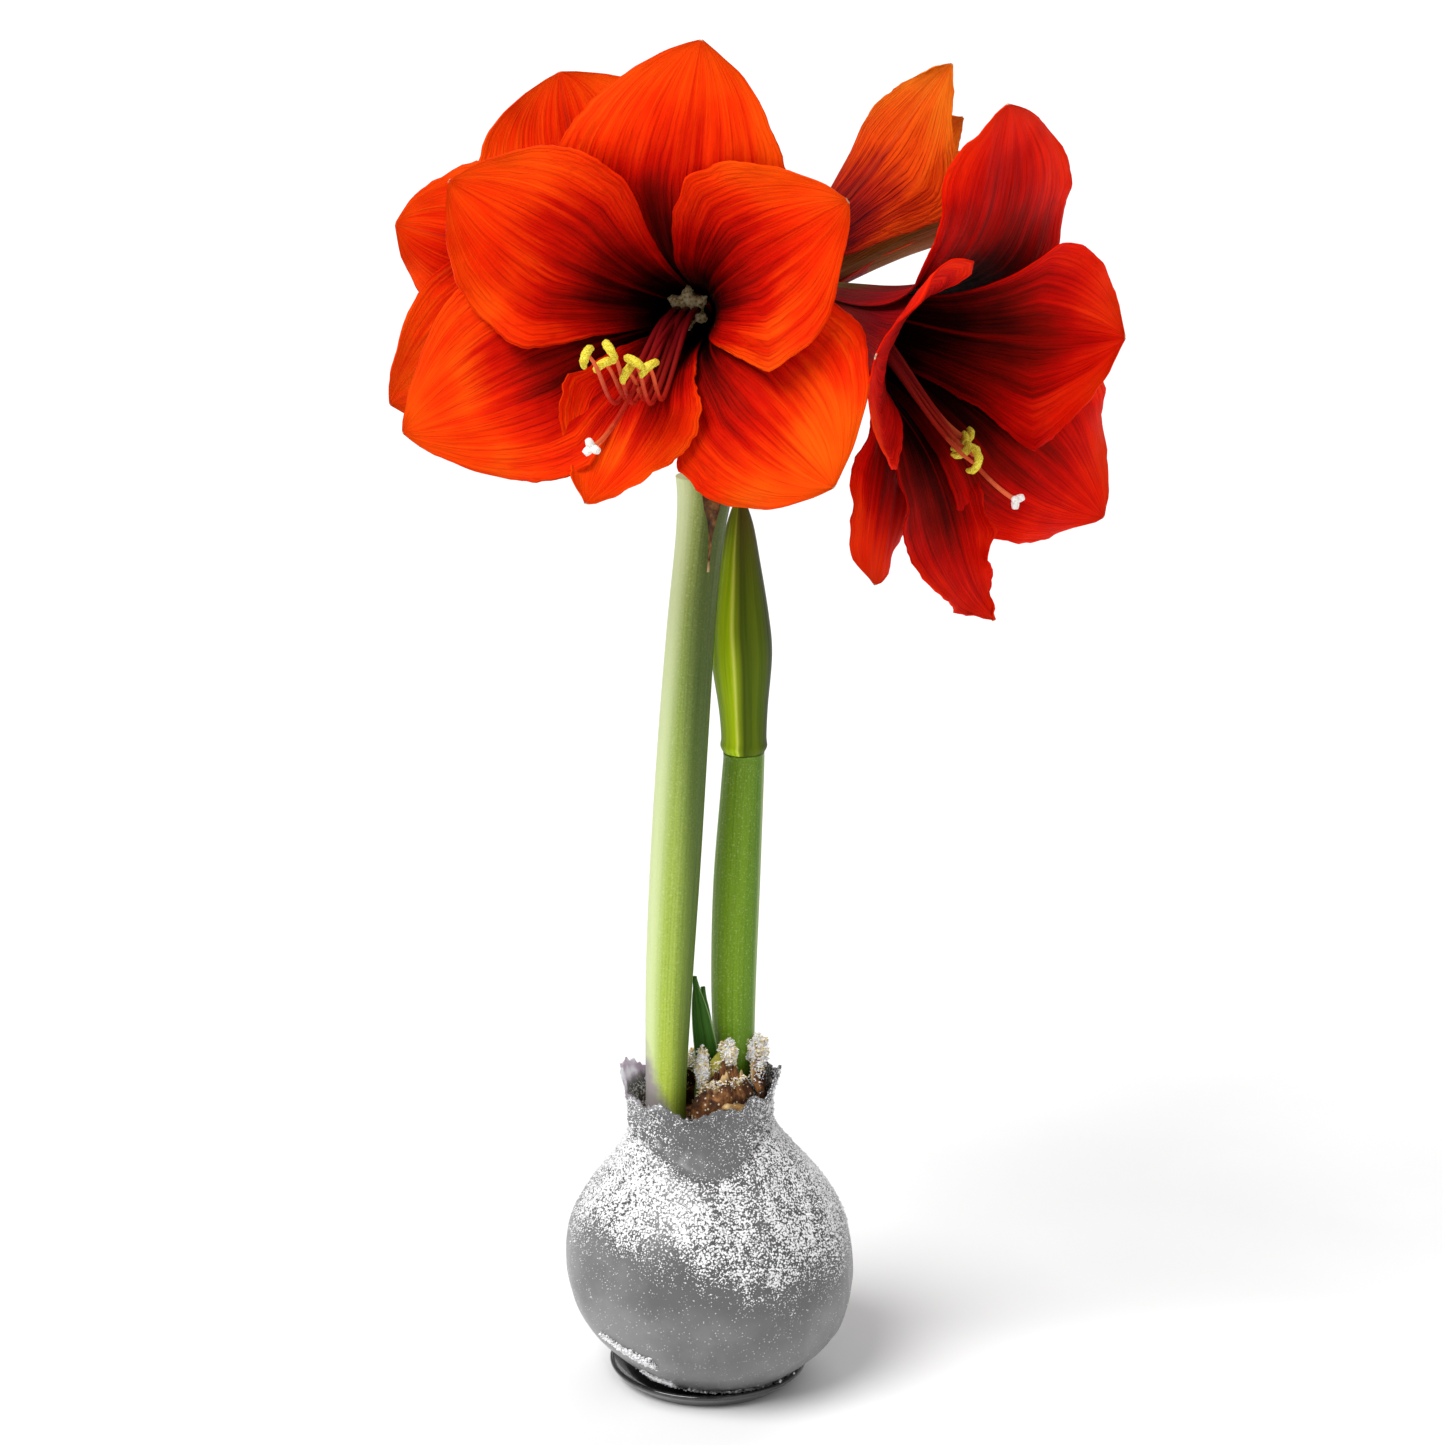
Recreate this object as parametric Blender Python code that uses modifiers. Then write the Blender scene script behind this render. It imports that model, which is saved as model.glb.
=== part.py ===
"""A waxed amaryllis: a bulb in a torn wax coat on a low dish, with four blooms and one closed bud.

Metres, +Z up. The origin is on the ground under the middle of the dish; the front of the plant is -Y.
"""

from collections import namedtuple
from math import cos, exp, pi, radians, sin

import bmesh
import bpy
from mathutils import Vector

MM = 0.001
GAP = 0.3 * MM

# Foot dish
DISH_RADIUS = 34.5 * MM
DISH_HEIGHT = 6.0 * MM
DISH_WALL = 1.6 * MM
DISH_FLOOR_RADIUS = 27.0 * MM
DISH_SEGMENTS = 24

# Wax coat: radius and height of its outside, from the underside to the torn collar
WAX_THICK = 2.0 * MM
WAX_PROFILE = [
    (0.0, 1.9), (13.0, 1.9), (23.0, 2.6), (33.6, 9.0), (43.8, 20.0), (48.8, 32.0), (49.6, 44.0),
    (47.2, 57.0), (40.4, 70.0), (31.8, 81.0), (25.2, 89.5), (22.8, 95.0), (22.8, 101.0), (23.8, 107.0),
]
WAX_COLUMNS = 32
BULB_COLUMNS = 16
COLLAR_FROM = 78.0 * MM
COLLAR_TOP = 107.0 * MM
BULB_SWAY = 3.5 * MM
NECK_SWAY = 0.8 * MM

# Bulb crown, inside the collar
CROWN_ROW = 11
CROWN_HEIGHT = 98.0 * MM
SCALE_THICK = 0.9 * MM
SCALE_ROOT = 5.0 * MM
TornScale = namedtuple("TornScale", "centre radius start stop top lean")
TORN_SCALES = [
    TornScale((3.4, -1.5), 11.3, 222, 378, 112, -0.04), TornScale((4.2, 0.2), 7.2, 235, 345, 118, 0.06),
    TornScale((8.0, 2.8), 10.2, 325, 405, 117, 0.04), TornScale((-1.0, 4.0), 12.5, 75, 170, 112, 0.04),
]
SnowLump = namedtuple("SnowLump", "centre size")
SNOW_LUMPS = [
    SnowLump((16.6, 5.2, 117.5), (4.4, 4.0, 5.2)), SnowLump((6.8, -4.0, 119.5), (3.2, 3.0, 4.6)),
    SnowLump((-1.8, -5.6, 114.5), (2.6, 2.2, 8.0)), SnowLump((-6.0, 14.0, 110.5), (3.6, 3.2, 3.4)),
]

# Young leaves between the scapes, on one sheathing foot
LEAF_THICK = 1.4 * MM
LEAF_SOCKET = [((-1.0, -1.0, 88.3), 3.8), ((-1.0, -1.0, 101.0), 3.8), ((-1.0, -1.0, 112.0), 3.8)]
LEAF_FOOT = [((-1.0, -1.0, 88.3), 3.8), ((-1.0, -1.0, 104.0), 3.6), ((-1.2, -1.0, 110.0), 2.6)]
Leaf = namedtuple("Leaf", "root tip width turn")
LEAVES = [
    Leaf((1.6, -2.2, 101.0), (-4.6, -1.0, 146.0), 8.2, 262),
    Leaf((2.2, -0.8, 101.0), (-1.6, 1.2, 141.5), 7.0, 300),
    Leaf((0.0, 0.6, 101.0), (-2.0, 4.0, 134.0), 7.0, 80),
]

# Scapes: centre line and radius from the socket to the top
MAIN_SCAPE = [
    ((-14.4, -9.0, 88.3), 6.6), ((-14.2, -9.0, 112.0), 6.9), ((-12.9, -8.8, 150.0), 7.9),
    ((-10.7, -8.0, 190.0), 8.4), ((-8.2, -7.0, 230.0), 8.3), ((-5.3, -6.0, 270.0), 7.9),
    ((-2.6, -5.2, 298.0), 7.8), ((-1.0, -5.0, 313.0), 8.8), ((-1.0, -5.0, 320.0), 9.2),
]
SECOND_SCAPE = [
    ((9.2, 8.5, 88.3), 6.5), ((9.0, 8.5, 110.0), 6.8), ((8.8, 8.8, 140.0), 7.6),
    ((9.8, 9.4, 175.0), 7.9), ((11.6, 10.3, 208.0), 7.2), ((12.2, 10.6, 219.0), 6.9),
    ((12.2, 10.6, 222.0), 6.9),
]
SCAPE_TOP = 320.0 * MM

# Closed bud on the second scape: centre line and radius
CLOSED_BUD = [
    ((12.2, 10.6, 222.3), 7.2), ((12.2, 10.6, 224.5), 8.3), ((12.2, 10.6, 228.0), 8.2),
    ((12.0, 10.6, 238.0), 8.9), ((11.4, 10.7, 256.0), 11.0), ((10.9, 10.9, 270.0), 10.2),
    ((10.8, 11.1, 288.0), 7.2), ((10.8, 11.3, 301.0), 4.6), ((10.8, 11.4, 311.0), 0.8),
]

# Withered bracts at the top of the main scape
BRACT_THICK = 0.8 * MM
Bract = namedtuple("Bract", "name top bottom out width")
BRACTS = [
    Bract("withered_bract_front", (1.6, -14.75, 319.0), (0.4, -15.4, 290.0), (0.26, -0.97), 5.6),
    Bract("withered_bract_back", (-4.1, 4.55, 319.0), (-6.5, 7.8, 288.0), (-0.31, 0.95), 9.0),
]

# Blooms
BLADE_THICK = 0.9 * MM
BLADE_ROWS = 8
BLADE_COLUMNS = 5
THROAT_RADIUS = 7.0 * MM
WHORL_STEP = 1.5 * MM
WHORL_LIFT = 3.0 * MM
CLAW_SHARE = 0.47
CUP_DEPTH = 12.0 * MM
CUP_WALL = 3.4 * MM
CUP_FLOOR = 1.6 * MM
CUP_HEEL = 1.0 * MM
CUP_SLOPE = 13.0
CUP_SEGMENTS = 12
TEPAL_ROOT = 3.0 * MM
OVARY_LENGTH = 13.0 * MM
OVARY_RADIUS = 4.6 * MM
PEDICEL_RADIUS = 2.7 * MM
PEDICEL_RISE = 2.0 * MM
STAMEN_COUNT = 6
STAMEN_LENGTHS = (0.03, -0.05, 0.04, -0.06, 0.02, -0.03)
STAMEN_TURNS = (1.15, 0.90, 1.30, 0.75, 1.05, 0.85)
STAMEN_RADIUS = 0.65 * MM
STYLE_RADIUS = 0.8 * MM
STYLE_SHARE = 1.2
STYLE_SAG = 1.25
BUTTON_RADIUS = 5.0 * MM
BUTTON_TOP = 4.4
FILAMENT_ROOT = 2.2
ANTHER_HALF = 4.0 * MM
ANTHER_RADIUS = 1.7 * MM
LOBE_LENGTH = 2.6 * MM

Tepal = namedtuple(
    "Tepal", "angle length width spread outer lean widest taper skew mouth wave",
    defaults=(False, 0.0, 0.60, 1.8, 0.0, 14.0, 2.6),
)
Bloom = namedtuple("Bloom", "name base axis tepals foot droop lowest upturn reach side")

# Angles run clockwise from the top as seen into the mouth; lengths, widths and waves are in
# millimetres. A bloom's foot is its pedicel's place on the scape; droop, lowest, upturn, reach and
# side shape its filaments: how far they sag, where, how far they turn up again, length and drift.
FRONT_BLOOM = Bloom(
    "front", (-4.0, -26.0, 376.0), (-0.215, -0.966, 0.14),
    [
        Tepal(10, 106, 72, 84, outer=True, widest=0.56, taper=2.1, skew=-0.06),
        Tepal(64, 92, 66, 78, lean=-4, widest=0.54, taper=2.0),
        Tepal(131, 98, 70, 84, outer=True, widest=0.62, taper=2.6, skew=-0.15),
        Tepal(188, 83, 44, 70, lean=9),
        Tepal(243, 110, 68, 86, outer=True),
        Tepal(301, 97, 62, 80, taper=2.1),
    ],
    (-3.6, -8.6), 29.0, 0.85, 0.50, 86.0, -4.0,
)
RIGHT_BLOOM = Bloom(
    "right", (38.0, -6.0, 375.0), (0.692, -0.692, -0.208),
    [
        Tepal(362, 112, 60, 84, outer=True, lean=-7, taper=2.6, skew=0.25),
        Tepal(82, 91, 88, 56, widest=0.50, taper=2.2, skew=-0.15),
        Tepal(129, 118, 70, 77, outer=True),
        Tepal(185, 116, 38, 82, lean=-23, skew=0.35, mouth=20.0, wave=2.0),
        Tepal(210, 97, 32, 76, outer=True, lean=-8, taper=5.0),
        Tepal(284, 90, 76, 59),
    ],
    (3.8, -6.0), 26.5, 1.05, 0.0, 70.0, 4.0,
)
REAR_BLOOM = Bloom(
    "rear", (-17.0, 26.0, 370.0), (-0.27, 0.95, 0.05),
    [
        Tepal(22, 97, 70, 74, outer=True, lean=-8, widest=0.66, taper=3.0),
        Tepal(76, 106, 58, 70, taper=3.2),
        Tepal(121, 120, 70, 76, outer=True),
        Tepal(166, 104, 42, 70),
        Tepal(236, 104, 56, 76, outer=True),
        Tepal(308, 92, 50, 70),
    ],
    (-4.6, -1.0), 22.0, 0.90, 0.40, 80.0, 2.0,
)
HALF_OPEN_BLOOM = Bloom(
    "half_open", (31.0, 30.0, 380.0), (0.78, 0.05, 0.62),
    [
        Tepal(318, 84, 48, 30, outer=True, lean=-6, widest=0.48, taper=1.5, mouth=16.0, wave=1.0),
        Tepal(5, 62, 30, 6, mouth=10.0, wave=1.0),
        Tepal(65, 72, 34, -2, outer=True, mouth=10.0, wave=1.0),
        Tepal(120, 64, 32, -2, mouth=9.0, wave=1.0),
        Tepal(180, 76, 36, 12, outer=True, mouth=12.0, wave=1.0),
        Tepal(240, 78, 44, 34, mouth=18.0, wave=1.0),
    ],
    (1.6, -0.6), 2.0, 1.0, 0.0, 46.0, 0.0,
)


def millimetres(point):
    return Vector(point) * MM


def smooth_step(value, low=0.0, high=1.0):
    """Rises from 0 at low to 1 at high with level ends."""
    part = min(max((value - low) / (high - low), 0.0), 1.0)
    return part * part * (3.0 - 2.0 * part)


def make_material(name, colour, roughness, metallic=0.0):
    material = bpy.data.materials.new(name)
    material.use_nodes = True
    shader = material.node_tree.nodes["Principled BSDF"]
    shader.inputs["Base Color"].default_value = (*colour, 1.0)
    shader.inputs["Roughness"].default_value = roughness
    shader.inputs["Metallic"].default_value = metallic
    return material


def make_collection(name):
    collection = bpy.data.collections.new(name)
    bpy.context.scene.collection.children.link(collection)
    return collection


def add_object(name, data, collection):
    item = bpy.data.objects.new(name, data)
    collection.objects.link(item)
    return item


def mesh_from(form, name):
    """Writes a bmesh to a new mesh with its faces pointing out, and frees it."""
    bmesh.ops.recalc_face_normals(form, faces=form.faces)
    mesh = bpy.data.meshes.new(name)
    form.to_mesh(mesh)
    form.free()
    return mesh


def applied_mesh(item, weld=True):
    """The object's mesh with its modifiers applied, in world space."""
    bpy.context.view_layer.update()
    evaluated = item.evaluated_get(bpy.context.evaluated_depsgraph_get())
    mesh = bpy.data.meshes.new_from_object(evaluated)
    mesh.transform(item.matrix_world)
    if weld:
        form = bmesh.new()
        form.from_mesh(mesh)
        bmesh.ops.remove_doubles(form, verts=form.verts, dist=0.001 * MM)
        form.to_mesh(mesh)
        form.free()
    return mesh


def remove_object(item):
    bpy.data.objects.remove(item)


def grid_form(rows):
    """An open surface through rows of points, split into triangles."""
    form = bmesh.new()
    points = [[form.verts.new(point) for point in row] for row in rows]
    for near, far in zip(points, points[1:]):
        for column in range(len(near) - 1):
            form.faces.new((near[column], near[column + 1], far[column + 1], far[column]))
    bmesh.ops.triangulate(form, faces=form.faces, quad_method="SHORT_EDGE")
    return form


def blade(name, rows, thick, collection):
    """A thin solid on both sides of a surface through rows of points."""
    form = grid_form(rows)
    mesh = bpy.data.meshes.new(name)
    form.to_mesh(mesh)
    form.free()
    item = add_object(name, mesh, collection)
    shell = item.modifiers.new("thickness", "SOLIDIFY")
    shell.thickness = thick
    shell.offset = 0.0
    solid = add_object(name, applied_mesh(item), collection)
    remove_object(item)
    return solid


def tube(name, points, radii, resolution, collection):
    """A closed round rod along points, with a radius at each, as a mesh object."""
    curve = bpy.data.curves.new(name, "CURVE")
    curve.dimensions = "3D"
    curve.bevel_depth = 1.0
    curve.bevel_resolution = resolution
    curve.use_fill_caps = True
    spline = curve.splines.new("POLY")
    spline.points.add(len(points) - 1)
    for knot, point, radius in zip(spline.points, points, radii):
        knot.co = (*point, 1.0)
        knot.radius = radius
    item = add_object(name, curve, collection)
    solid = add_object(name, applied_mesh(item), collection)
    remove_object(item)
    return solid


def stem(name, knots, resolution, collection, extra=0.0):
    points = [millimetres(point) for point, radius in knots]
    points[0] = points[0] - Vector((0.0, 0.0, extra))
    return tube(name, points, [radius * MM + extra for point, radius in knots], resolution, collection)


def keep_largest(mesh):
    """Drops loose scraps, and the walls of hollows that a union sealed."""
    form = bmesh.new()
    form.from_mesh(mesh)
    left = set(form.faces)
    islands = []
    while left:
        island = {left.pop()}
        edge = list(island)
        while edge:
            face = edge.pop()
            near = {other for side in face.edges for other in side.link_faces} & left
            left -= near
            island |= near
            edge.extend(near)
        islands.append(island)
    islands.sort(key=len)
    scraps = [face for island in islands[:-1] for face in island]
    bmesh.ops.delete(form, geom=scraps, context="FACES")
    bmesh.ops.delete(form, geom=[v for v in form.verts if not v.link_faces], context="VERTS")
    form.to_mesh(mesh)
    form.free()


def combine(body, others, operation, solver="EXACT"):
    """Joins or cuts body with a collection's objects, applies it and removes them."""
    boolean = body.modifiers.new("combine", "BOOLEAN")
    boolean.operation = operation
    boolean.operand_type = "COLLECTION"
    boolean.collection = others
    boolean.solver = solver
    mesh = applied_mesh(body, weld=False)
    keep_largest(mesh)
    body.modifiers.clear()
    body.data = mesh
    for item in list(others.objects):
        remove_object(item)
    bpy.data.collections.remove(others)


def finish(item, name, material, parts):
    """Names a finished solid, gives it its material and puts it with the parts."""
    for collection in list(item.users_collection):
        collection.objects.unlink(item)
    parts.objects.link(item)
    item.name = name
    item.data.name = name
    item.data.materials.clear()
    item.data.materials.append(material)
    item.data.shade_smooth()
    item.data.set_sharp_from_angle(angle=radians(40))
    return item


def foot_dish(parts, work):
    """A shallow turned dish with a rolled lip."""
    profile = [
        (0.0, DISH_WALL), (DISH_FLOOR_RADIUS, DISH_WALL),
        (DISH_RADIUS - 2.2 * DISH_WALL, DISH_HEIGHT - 1.6 * DISH_WALL),
        (DISH_RADIUS - DISH_WALL, DISH_HEIGHT - 0.2 * DISH_WALL),
        (DISH_RADIUS - 0.5 * DISH_WALL, DISH_HEIGHT), (DISH_RADIUS, DISH_HEIGHT - 0.4 * DISH_WALL),
        (DISH_RADIUS - 0.3 * DISH_WALL, DISH_HEIGHT - 1.2 * DISH_WALL),
        (DISH_FLOOR_RADIUS + 1.3 * DISH_WALL, 0.0), (0.0, 0.0),
    ]
    form = bmesh.new()
    knots = [form.verts.new((radius, 0.0, height)) for radius, height in profile]
    for first, second in zip(knots, knots[1:]):
        form.edges.new((first, second))
    mesh = bpy.data.meshes.new("dish")
    form.to_mesh(mesh)
    form.free()
    item = add_object("dish", mesh, work)
    turn = item.modifiers.new("turn", "SCREW")
    turn.steps = turn.render_steps = DISH_SEGMENTS
    turn.use_merge_vertices = True
    turn.merge_threshold = 0.01 * MM
    turn.use_normal_calculate = False
    return finish(item, "foot_dish", make_material("black_lacquer", (0.02, 0.02, 0.02), 0.25), parts)


def collar_bulge(angle, height):
    """How far the neck swells round the main scape's foot."""
    foot = Vector(MAIN_SCAPE[0][0])
    towards = Vector((cos(angle), sin(angle))).angle(foot.xy)
    return 4.8 * MM * exp(-((towards / 0.62) ** 2)) * smooth_step(height, COLLAR_FROM, 92.0 * MM)


def torn_edge(angle):
    """Height of the torn collar's edge over COLLAR_TOP, with a flap at each side."""
    ragged = 1.1 * sin(5 * angle + 0.7) + 0.8 * sin(9 * angle + 2.0) + 0.6 * sin(14 * angle)
    left_flap = 8.4 * exp(-(((angle - radians(176)) / 0.26) ** 2))
    right_flap = 3.4 * exp(-((sin((angle - radians(8)) / 2) / 0.22) ** 2))
    front_dip = -2.2 * exp(-(((angle - radians(262)) / 0.8) ** 2))
    return (ragged + left_flap + right_flap + front_dip) * MM


def wax_point(angle, radius, height):
    """A point on the wax coat's outside."""
    swell = smooth_step(height, 8.0 * MM, 30.0 * MM)
    lobes = 0.010 * sin(2 * angle + 0.5) + 0.007 * sin(3 * angle - 1.0) + 0.004 * sin(11 * angle)
    out = radius * (1.0 + lobes * swell) + collar_bulge(angle, height)
    torn = smooth_step(height, COLLAR_TOP - 7.0 * MM, COLLAR_TOP)
    raised = height + torn * torn_edge(angle)
    flare = torn * max(torn_edge(angle), 0.0) * 0.45
    sway = BULB_SWAY * (1.0 - smooth_step(height, 0.0, 60.0 * MM))
    sway -= NECK_SWAY * smooth_step(height, 60.0 * MM, 95.0 * MM)
    return Vector(((out + flare) * cos(angle) + sway, (out + flare) * sin(angle), raised))


def wax_skin(columns):
    """The open outside of the wax coat, as rings of vertices from the underside up."""
    form = bmesh.new()
    middle = form.verts.new(wax_point(0.0, 0.0, WAX_PROFILE[0][1] * MM))
    rings = []
    for radius, height in WAX_PROFILE[1:]:
        angles = [2 * pi * column / columns for column in range(columns)]
        rings.append([form.verts.new(wax_point(a, radius * MM, height * MM)) for a in angles])
    for column in range(columns):
        follow = (column + 1) % columns
        form.faces.new((middle, rings[0][follow], rings[0][column]))
        for low, high in zip(rings, rings[1:]):
            form.faces.new((low[column], low[follow], high[follow], high[column]))
    form.normal_update()
    return form, rings


def wax_coat(parts, work):
    form = wax_skin(WAX_COLUMNS)[0]
    mesh = bpy.data.meshes.new("wax")
    form.to_mesh(mesh)
    form.free()
    item = add_object("wax", mesh, work)
    shell = item.modifiers.new("thickness", "SOLIDIFY")
    shell.thickness = WAX_THICK
    shell.offset = -1.0
    solid = add_object("wax", applied_mesh(item), work)
    remove_object(item)
    return finish(solid, "wax_coat", make_material("grey_wax", (0.17, 0.17, 0.17), 0.45), parts)


def torn_scale(name, scale, collection, columns=8):
    """An upright papery scale: an arc round its centre, rooted in the crown, with a ragged top."""
    root = CROWN_HEIGHT - SCALE_ROOT
    rows = []
    for part in (0.0, 0.55, 1.0):
        row = []
        for column in range(columns + 1):
            turn = radians(scale.start + (scale.stop - scale.start) * column / columns)
            ends = 1.0 - 0.35 * abs(2.0 * column / columns - 1.0) ** 3
            ragged = 1.0 + 0.08 * sin(2.3 * column) + 0.05 * sin(4.1 * column + 1.0)
            height = root + part * (scale.top * MM - root) * ends * ragged
            out = scale.radius * MM * (1.0 + scale.lean * part)
            centre = millimetres((*scale.centre, 0.0))
            row.append(centre + Vector((out * cos(turn), out * sin(turn), height)))
        rows.append(row)
    return blade(name, rows, SCALE_THICK, collection)


def snow_lump(name, lump, parts):
    """A knobbly lump of crusted snow."""
    bpy.ops.mesh.primitive_ico_sphere_add(subdivisions=2, radius=1.0)
    item = bpy.context.active_object
    for vertex in item.data.vertices:
        spot = vertex.co.copy()
        knobs = 1.0 + 0.10 * sin(5.0 * spot.x + 1.0) * cos(4.0 * spot.y) + 0.08 * sin(7.0 * spot.z)
        vertex.co = millimetres(lump.centre) + millimetres([c * s * knobs for c, s in zip(spot, lump.size)])
    for collection in list(item.users_collection):
        collection.objects.unlink(item)
    parts.objects.link(item)
    item.name = name
    return item


def bulb(parts, work):
    """The bulb inside the wax, with torn scales, crusted snow and the sockets of its shoots."""
    form, rings = wax_skin(BULB_COLUMNS)
    moved = [(vertex, vertex.co - vertex.normal * (WAX_THICK + 1.3 * GAP)) for vertex in form.verts]
    for vertex, place in moved:
        vertex.co = place
    for ring in rings[CROWN_ROW:]:
        bmesh.ops.delete(form, geom=ring, context="VERTS")
    edge = rings[CROWN_ROW - 1]
    middle = sum((vertex.co for vertex in edge), Vector()) / len(edge)
    crown = []
    for share, rise in ((0.82, 2.0 * MM), (0.45, 3.2 * MM)):
        ring = [form.verts.new(middle + (v.co - middle) * share + Vector((0, 0, rise))) for v in edge]
        crown.append(ring)
    peak = form.verts.new(middle + Vector((0, 0, 3.6 * MM)))
    for column in range(BULB_COLUMNS):
        follow = (column + 1) % BULB_COLUMNS
        for low, high in zip([edge, crown[0]], crown):
            form.faces.new((low[column], low[follow], high[follow], high[column]))
        form.faces.new((crown[1][column], crown[1][follow], peak))
    body = add_object("bulb", mesh_from(form, "bulb"), work)

    scales = make_collection("scales")
    for number, scale in enumerate(TORN_SCALES):
        torn_scale(f"scale_{number}", scale, scales)
    for number, lump in enumerate(SNOW_LUMPS):
        snow_lump(f"snow_{number}", lump, scales)
    combine(body, scales, "UNION")

    sockets = make_collection("sockets")
    stem("main_socket", MAIN_SCAPE[:4], 8, sockets, GAP)
    stem("second_socket", SECOND_SCAPE[:4], 8, sockets, GAP)
    stem("leaf_socket", LEAF_SOCKET, 3, sockets, GAP)
    combine(body, sockets, "DIFFERENCE")
    return finish(body, "bulb", make_material("brown_bulb", (0.25, 0.12, 0.05), 0.8), parts)


def leaf_rows(leaf, rows=5, columns=4):
    """Rows of points over a young leaf, folded about its rib and drawn to a blunt point."""
    root, tip = millimetres(leaf.root), millimetres(leaf.tip)
    face = Vector((cos(radians(leaf.turn)), sin(radians(leaf.turn)), 0.0))
    across = Vector((-face.y, face.x, 0.0))
    surface = []
    for row in range(rows + 1):
        part = row / rows
        middle = root.lerp(tip, part) + face * (-1.2 * MM * sin(pi * part))
        half = 0.5 * leaf.width * MM * (1.0 - part ** 3.2) * (0.72 + 0.28 * smooth_step(part, 0.0, 0.4))
        half = max(half, 0.7 * MM)
        line = []
        for column in range(columns + 1):
            side = 2.0 * column / columns - 1.0
            fold = 0.30 * half * side * side
            line.append(middle + across * (half * side) - face * fold)
        surface.append(line)
    return surface


def leaf_shoots(parts, work):
    """Young leaves on one sheathing foot between the scapes."""
    body = stem("leaf_foot", LEAF_FOOT, 3, work)
    blades = make_collection("leaf_blades")
    for number, leaf in enumerate(LEAVES):
        blade(f"leaf_{number}", leaf_rows(leaf), LEAF_THICK, blades)
    combine(body, blades, "UNION")
    return finish(body, "leaf_shoots", make_material("dark_leaf", (0.05, 0.16, 0.03), 0.5), parts)


def scapes_and_bud(parts, work):
    main = stem("main_scape", MAIN_SCAPE, 8, work)
    finish(main, "main_scape", make_material("pale_green", (0.42, 0.52, 0.22), 0.5), parts)
    second = stem("second_scape", SECOND_SCAPE, 8, work)
    finish(second, "second_scape", make_material("bright_green", (0.16, 0.36, 0.03), 0.45), parts)
    bud = stem("closed_bud", CLOSED_BUD, 8, work)
    finish(bud, "closed_bud", make_material("bud_green", (0.30, 0.45, 0.03), 0.45), parts)


def withered_bract(bract, parts, work, material):
    """A dried spathe valve: a curled, twisted strip that hangs from the scape's top."""
    start, end = millimetres(bract.top), millimetres(bract.bottom)
    face = Vector((*bract.out, 0.0)).normalized()
    across = Vector((-face.y, face.x, 0.0))
    surface = []
    for row in range(9):
        part = row / 8
        middle = start.lerp(end, part) + face * (3.0 * MM * sin(pi * part) * (1 - part))
        half = 0.5 * bract.width * MM * (1.0 - 0.75 * part ** 1.5) * (1.0 + 0.15 * sin(9.0 * part))
        twist = 1.1 * part * part
        line = []
        for side in (-1.0, -0.5, 0.0, 0.5, 1.0):
            curl = 0.16 * half * side * side + 0.8 * MM * sin(7.0 * part + 2.0 * side) * part
            wide = half * side
            line.append(middle + across * (wide * cos(twist)) + face * (wide * sin(twist) - curl))
        surface.append(line)
    item = blade(bract.name, surface, BRACT_THICK, work)
    return finish(item, bract.name, material, parts)


def bloom_axes(axis):
    """Unit vectors out of the mouth, up across it, and to the right as seen into the mouth."""
    forward = Vector(axis).normalized()
    up = (Vector((0.0, 0.0, 1.0)) - forward * forward.z).normalized()
    return forward, up, up.cross(forward)


def claw_arc(bloom, tepal):
    """The arc that a tepal's half may take up before it meets the next one of its whorl: a wide
    tepal gets the larger part of the arc between them."""
    arcs = []
    for other in bloom.tepals:
        if other.outer == tepal.outer and other != tepal:
            between = abs((other.angle - tepal.angle + 180) % 360 - 180)
            arcs.append(radians(between) * tepal.width / (tepal.width + other.width))
    return 2.0 * CLAW_SHARE * min(arcs)


def half_width(tepal, part, most):
    """Half width of a tepal: a claw of at most that width, widest past the middle, then a point."""
    rise = 0.30 + 0.70 * sin(min(part / tepal.widest, 1.0) * pi / 2) ** 1.4
    past = max((part - tepal.widest) / (1.0 - tepal.widest), 0.0)
    free = 0.5 * tepal.width * MM * rise * (1.0 - past ** tepal.taper) ** 0.85
    return max(min(free, most), 1.0 * MM)


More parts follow.
